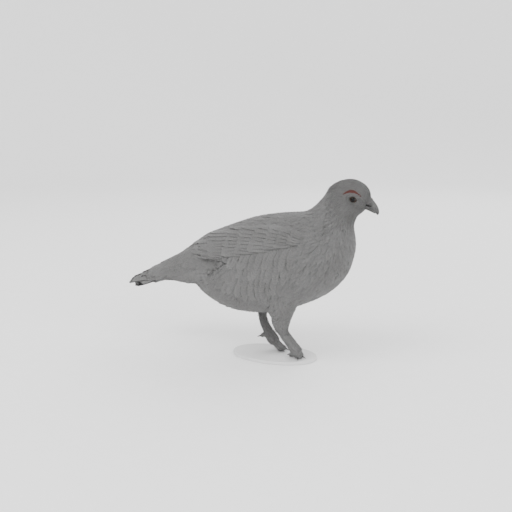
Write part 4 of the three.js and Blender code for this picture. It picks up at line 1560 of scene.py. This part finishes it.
@dataclass
class Bill:
    """Both halves of the short, hooked bill."""

    form: BirdForm
    rng: Generator
    unwrap: Unwrap
    culmen: np.ndarray = field(default_factory=lambda: np.array([
        [147.3, 191.6, 142.7, 181.6, 6.4],
        [151.2, 187.8, 147.4, 179.9, 5.3],
        [154.5, 183.4, 151.2, 177.7, 3.9],
        [156.6, 178.6, 153.9, 175, 2.4],
        [156.9, 174.6, 155.6, 173.0, 1.1],
    ]))
    gonys: np.ndarray = field(default_factory=lambda: np.array([
        [141.5, 178.7, 142.5, 181.3, 5.6],
        [146, 177, 147, 179.5, 4.5],
        [149.8, 175.4, 150.6, 177.3, 3.1],
        [152.4, 174.3, 152.7, 175.4, 1.5],
    ]))
    slit: tuple[float, float] = (2.2, 0.58)  # the nostrils' depth and half-width
    swelling: tuple[float, float] = (0.55, 1.1)  # height and half-width of the fold over them
    vane: VaneBuild = VaneBuild(
        long=4, across=4, root=0.7, tip=0.35, fray=0.3, thick=0.06, cup=0.3, sway=0.1
    )
    tufts: tuple[int, int] = (420, 130)  # small feathers tried round the upper and the lower half
    middle: tuple[float, float, float] = (146.0, 0.0, 181.5)  # a place inside the bill's root
    slit_free: float = 0.55  # how far the small feathers keep from the nostrils
    around: int = 72
    rings: int = 84

    def _ring(self, rows: np.ndarray, share: float, angle: np.ndarray) -> np.ndarray:
        """Points of one half: a dome from its ridge (angle 0) to its cutting edges."""
        ridge_x, ridge_z, edge_x, edge_z, half = along(rows, np.array(share * (len(rows) - 1)))
        blunt = math.sqrt(max(1 - (max(share - 0.93, 0) / 0.07) ** 2, 0.0))
        kept = 0.1 + 0.9 * blunt
        half *= kept
        ridge_x = edge_x + (ridge_x - edge_x) * kept
        ridge_z = edge_z + (ridge_z - edge_z) * blunt
        high = np.maximum(np.cos(angle), 0) ** 1.1 - 0.12 * np.maximum(-np.cos(angle), 0)
        return np.stack([
            edge_x + (ridge_x - edge_x) * high,
            np.sin(angle) * half,
            edge_z + (ridge_z - edge_z) * high,
        ], -1)

    def _half(self, rows: np.ndarray) -> BMesh:
        """One half of the bill as a closed shape."""
        places = np.linspace(-0.06, 1, self.rings)
        return lofted([self._ring(rows, share, full_turn(self.around)) for share in places])

    def build(self, material: Material, plumage: Material) -> None:
        """Makes the upper half with its nostrils, the lower half and the tufts round the root."""
        upper = self._half(self.culmen)
        bmesh.ops.recalc_face_normals(upper, faces=upper.faces)
        upper.normal_update()
        points = np.array([vert.co for vert in upper.verts])
        groove = away_from(NOSTRIL, points[:, 0], points[:, 2] + 0.25)
        fold = away_from(NOSTRIL, points[:, 0], points[:, 2] - 1.6)
        aside = smooth_step((np.abs(points[:, 1]) - 2.0) / 1.5)
        # The slit's profile sinks the nostrils and also sets their painted shade.
        pit_and_painted_shade = aside * np.exp(-((groove / self.slit[1]) ** 4))
        lift = self.swelling[0] * aside * bell(fold, self.swelling[1]) - self.slit[0] * pit_and_painted_shade
        for vert, far in zip(upper.verts, lift):
            vert.co += vert.normal * float(far)
        piece = piece_from("bill_upper_horn", upper)
        # Painted shade for the nostrils, read by the horn's finish.
        shade = piece.data.attributes.new("pit_and_painted_shade", "FLOAT", "POINT")
        shade.data.foreach_set("value", np.clip(pit_and_painted_shade * 1.6, 0, 1).astype(np.float32))
        dress(piece, material, ["bill_upper"])
        dress(piece_from("bill_lower_horn", self._half(self.gonys)), material, ["bill_lower"])
        self._tufts(plumage)

    def _tufts(self, material: Material) -> None:
        """Small feathers that reach forward from the face over the nostrils and the bill's root."""
        rng, rows = self.rng, self.vane.long + 1
        centre, normal = [], []
        for half, count, widest in ((self.culmen, self.tufts[0], 1.5), (self.gonys, self.tufts[1], 1.3)):
            for _ in range(count):
                side, turn = rng.choice([-1, 1]), rng.uniform(0.03, widest)
                over = half is self.culmen and turn < 1.1
                reach = 0.15 * (0.35 + 0.65 * math.sin(math.pi * min(turn / 1.1, 1))) if over else 0.075
                start = rng.uniform(-0.08, 0.06 if over else -0.02)
                line, outs = [], []
                for share in np.linspace(0, 1, rows):
                    at = start + reach * share
                    spots = [(at, turn), (at + 0.01, turn), (at, turn + 0.02)]
                    here, ahead, aside = (self._ring(half, a, side * np.array(b)) for a, b in spots)
                    line.append(here)
                    outs.append(np.cross(ahead - here, aside - here))
                line = np.array(line)
                root, _ = self.form.snap(line[0] - FACE_RUN * rng.uniform(0.3, 2.6))
                line += (root - line[0]) * (np.linspace(1, 0, rows)[:, None] ** 1.5) * (start < 0.02)
                if away_from(NOSTRIL[1:], line[:, 0], line[:, 2]).min() > self.slit_free:
                    centre.append(line)
                    normal.append(outs)
        centre, normal = np.array(centre), unit(np.array(normal))
        normal *= np.sign((normal * (centre - self.middle)).sum(-1, keepdims=True))
        count = len(centre)
        batch = FeatherBatch(
            centre, normal, rng.uniform(0.32, 0.5, count),
            sink=rng.uniform(0.0, 0.15, count), rise=rng.uniform(0.25, 0.65, count),
            tilt=rng.normal(0, 0.1, count), tint=1 + 0.06 * rng.normal(0, 1, count),
            patch=self.unwrap.at(centre[:, 0]),
        )
        dress(grow("feathers_nostrils", batch, self.vane, rng), material)


@dataclass
class Comb:
    """The bare comb over an eye, as its solid's ridge, finer, knobbly and half sunk."""

    form: BirdForm
    side: Side
    kept: float = 0.5  # what is kept of its height over the bird's surface
    deep: float = 0.3  # how far it sinks
    rough: float = 0.22  # height of its small knobs

    def build(self, node: Object, material: Material) -> None:
        """Makes the comb from its CAD node."""
        piece = piece_from(f"comb_ridge_{self.side.label}", copy_of(node), levels=2)
        for vert in piece.data.vertices:
            knob = noise.noise(vert.co * 900.0) + 0.5 * noise.noise(vert.co * 2100.0)
            vert.co += vert.normal * (knob * self.rough * MM)
        for vert in piece.data.vertices:
            place = np.array(vert.co) / MM - ORIGIN
            found, out = self.form.from_side(place[0], place[2], self.side)
            high = float((place - found) @ out)
            vert.co = Vector((found + out * (high * self.kept - self.deep) + ORIGIN) * MM)
        dress(piece, material, [f"comb_{self.side.label}"])


@dataclass
class Claws:
    """The four claws of one foot."""

    side: Side
    count: int = 4

    def build(self, nodes: dict, material: Material) -> None:
        """Makes each claw, smooth and finer, in the shape of its CAD node."""
        for k in range(1, self.count + 1):
            name = f"claw_{self.side.label}_{k}"
            dress(piece_from(f"{name}_horn", copy_of(nodes[name]), levels=2), material, [name])


@dataclass
class StandBase:
    """The thin oval base, its rim rounded over."""

    segments: int = 144
    rim: float = 1.1  # width of the rounding

    def build(self, material: Material) -> None:
        """Makes the base from its CAD node's box."""
        low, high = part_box("stand_base")
        shape = bmesh.new()
        bmesh.ops.create_cone(
            shape, cap_ends=True, segments=self.segments, radius1=0.5, radius2=0.5, depth=1.0
        )
        bmesh.ops.scale(shape, verts=shape.verts, vec=(high - low) / MM)
        bmesh.ops.translate(shape, verts=shape.verts, vec=(low + high) / 2 / MM - Vector(ORIGIN))
        rims = [edge for edge in shape.edges if len({round(v.co.z, 3) for v in edge.verts}) == 1]
        bmesh.ops.bevel(
            shape, geom=rims, offset=self.rim, offset_type="OFFSET", segments=4, profile=0.5,
            affect="EDGES", material=-1,
        )
        dress(piece_from("base", shape), material, ["stand_base"])


# ------------------------------------------------------------------ studio
@dataclass
class Studio:
    """A pale round cove, soft lights and the camera."""

    azimuth: float = 22.0
    elevation: float = 11.0
    distance: float = 0.84
    target: tuple[float, float, float] = (0.0135, 0.0, 0.1201)
    lens: float = 50.0
    sensor: float = 36.0
    cove: float = 3.2  # radius, m
    bend: float = 0.3  # of its corner, as a share of that
    wall: float = 2.6
    sky: float = 1.45
    lights: tuple = (  # name, place, size and power
        ("key", (-0.9, -1.6, 1.9), 1.5, 42.0),
        ("fill", (1.7, -1.0, 1.0), 1.6, 22.0),
        ("back", (0.3, 1.7, 1.6), 1.6, 20.0),
    )

    def build(self) -> None:
        """Makes the cove, the lights and the camera."""
        self._cove()
        for light in self.lights:
            self._light(*light)
        world = bpy.data.worlds.new("studio")
        world.use_nodes = True
        shade = world.node_tree.nodes["Background"]
        shade.inputs["Color"].default_value = (1.0, 1.0, 1.0, 1.0)
        shade.inputs["Strength"].default_value = self.sky
        bpy.context.scene.world = world
        self._camera()

    def _cove(self) -> None:
        """A floor that bends up into a round wall."""
        shape = bmesh.new()
        bend = self.cove * self.bend
        arc = [
            Vector((self.cove - bend + bend * math.sin(turn), 0, bend - bend * math.cos(turn)))
            for turn in np.linspace(0, math.pi / 2, 12)
        ]
        profile = [Vector((0, 0, 0)), *arc, Vector((self.cove, 0, self.wall))]
        verts = [shape.verts.new(point) for point in profile]
        edges = [shape.edges.new(pair) for pair in zip(verts, verts[1:])]
        bmesh.ops.spin(
            shape, geom=verts + edges, cent=(0, 0, 0), axis=(0, 0, 1), angle=2 * math.pi, steps=96,
            use_merge=True,
        )
        bmesh.ops.remove_doubles(shape, verts=shape.verts, dist=1e-5)
        floor = meshed("floor", shape)
        floor.data.materials.append(PlainFinish("floor_paper", 0.93, 0.95, 60.0).material())
        floor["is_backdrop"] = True

    def _light(self, name: str, place: tuple[float, float, float], size: float, power: float) -> None:
        """A soft area light that looks at the bird."""
        data = bpy.data.lights.new(name, "AREA")
        data.shape = "DISK"
        data.size = size
        data.energy = power
        light = link(name, data)
        light.location = place
        light.rotation_euler = (Vector(self.target) - Vector(place)).to_track_quat("-Z", "Y").to_euler()

    def _camera(self) -> None:
        """The camera, level with the bird's back and a little ahead of its side."""
        turn, rise = math.radians(self.azimuth), math.radians(self.elevation)
        level = math.cos(rise)
        back = Vector((math.sin(turn) * level, -math.cos(turn) * level, math.sin(rise)))
        data = bpy.data.cameras.new("camera")
        data.lens = self.lens
        data.sensor_width = self.sensor
        camera = link("camera", data)
        camera.location = Vector(self.target) + back * self.distance
        camera.rotation_euler = (-back).to_track_quat("-Z", "Y").to_euler()
        bpy.context.scene.camera = camera


def corners() -> list[list[float]]:
    """The shown object's lowest and highest corner as plain lists."""
    return [list(corner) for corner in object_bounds()]


def main() -> None:
    """Builds every piece in order."""
    logging.basicConfig(level=logging.INFO, format="%(name)s %(message)s")
    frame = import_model()
    nodes = frame["nodes"]
    rng = np.random.default_rng(SEED)
    plumage = PlumageFinish("plumage").material()
    down = PlumageFinish("leg_down", tone=0.135, bars=0.12).material()
    face = PlumageFinish("face_plumage", bars=0.1).material()
    dark = PlumageFinish("tail_dark", tone=0.065, warm=0.0, bars=0.15, sheen=0.05).material()
    skin = PlumageFinish("skin_plumage", tone=0.1, vaned=False).material()
    horn = HornFinish("bill_horn").material()
    claw = HornFinish("claw_horn", dark=0.02, light=0.055, roughness=0.32).material()
    lid = BareSkinFinish("lid_skin", grey(0.04, 0.03), grey(0.085, 0.04)).material()
    comb = BareSkinFinish("comb_skin", (0.03, 0.009, 0.008), (0.075, 0.022, 0.019), relief=0.0004)
    comb_skin = comb.material()

    form = BirdForm(nodes)
    form.build()
    lie = LieField()
    unwrap = Unwrap()
    Skin(form, lie).build(skin)
    Wings(form, unwrap, rng).build(plumage)
    Flanks(form, unwrap, rng).build(plumage)
    Tail(unwrap, rng).build(plumage, dark)
    Coat(form, unwrap, lie, rng).build(plumage, face, down)
    for side in Side:
        Eye(form, side, rng, unwrap).build(lid, face)
        Comb(form, side).build(nodes[f"comb_{side.label}"], comb_skin)
        Claws(side).build(nodes, claw)
    Bill(form, rng, unwrap).build(horn, face)
    StandBase().build(PlainFinish("base_paint", 0.62, 0.55).material())
    Studio().build()


if __name__ == "__main__":
    main()
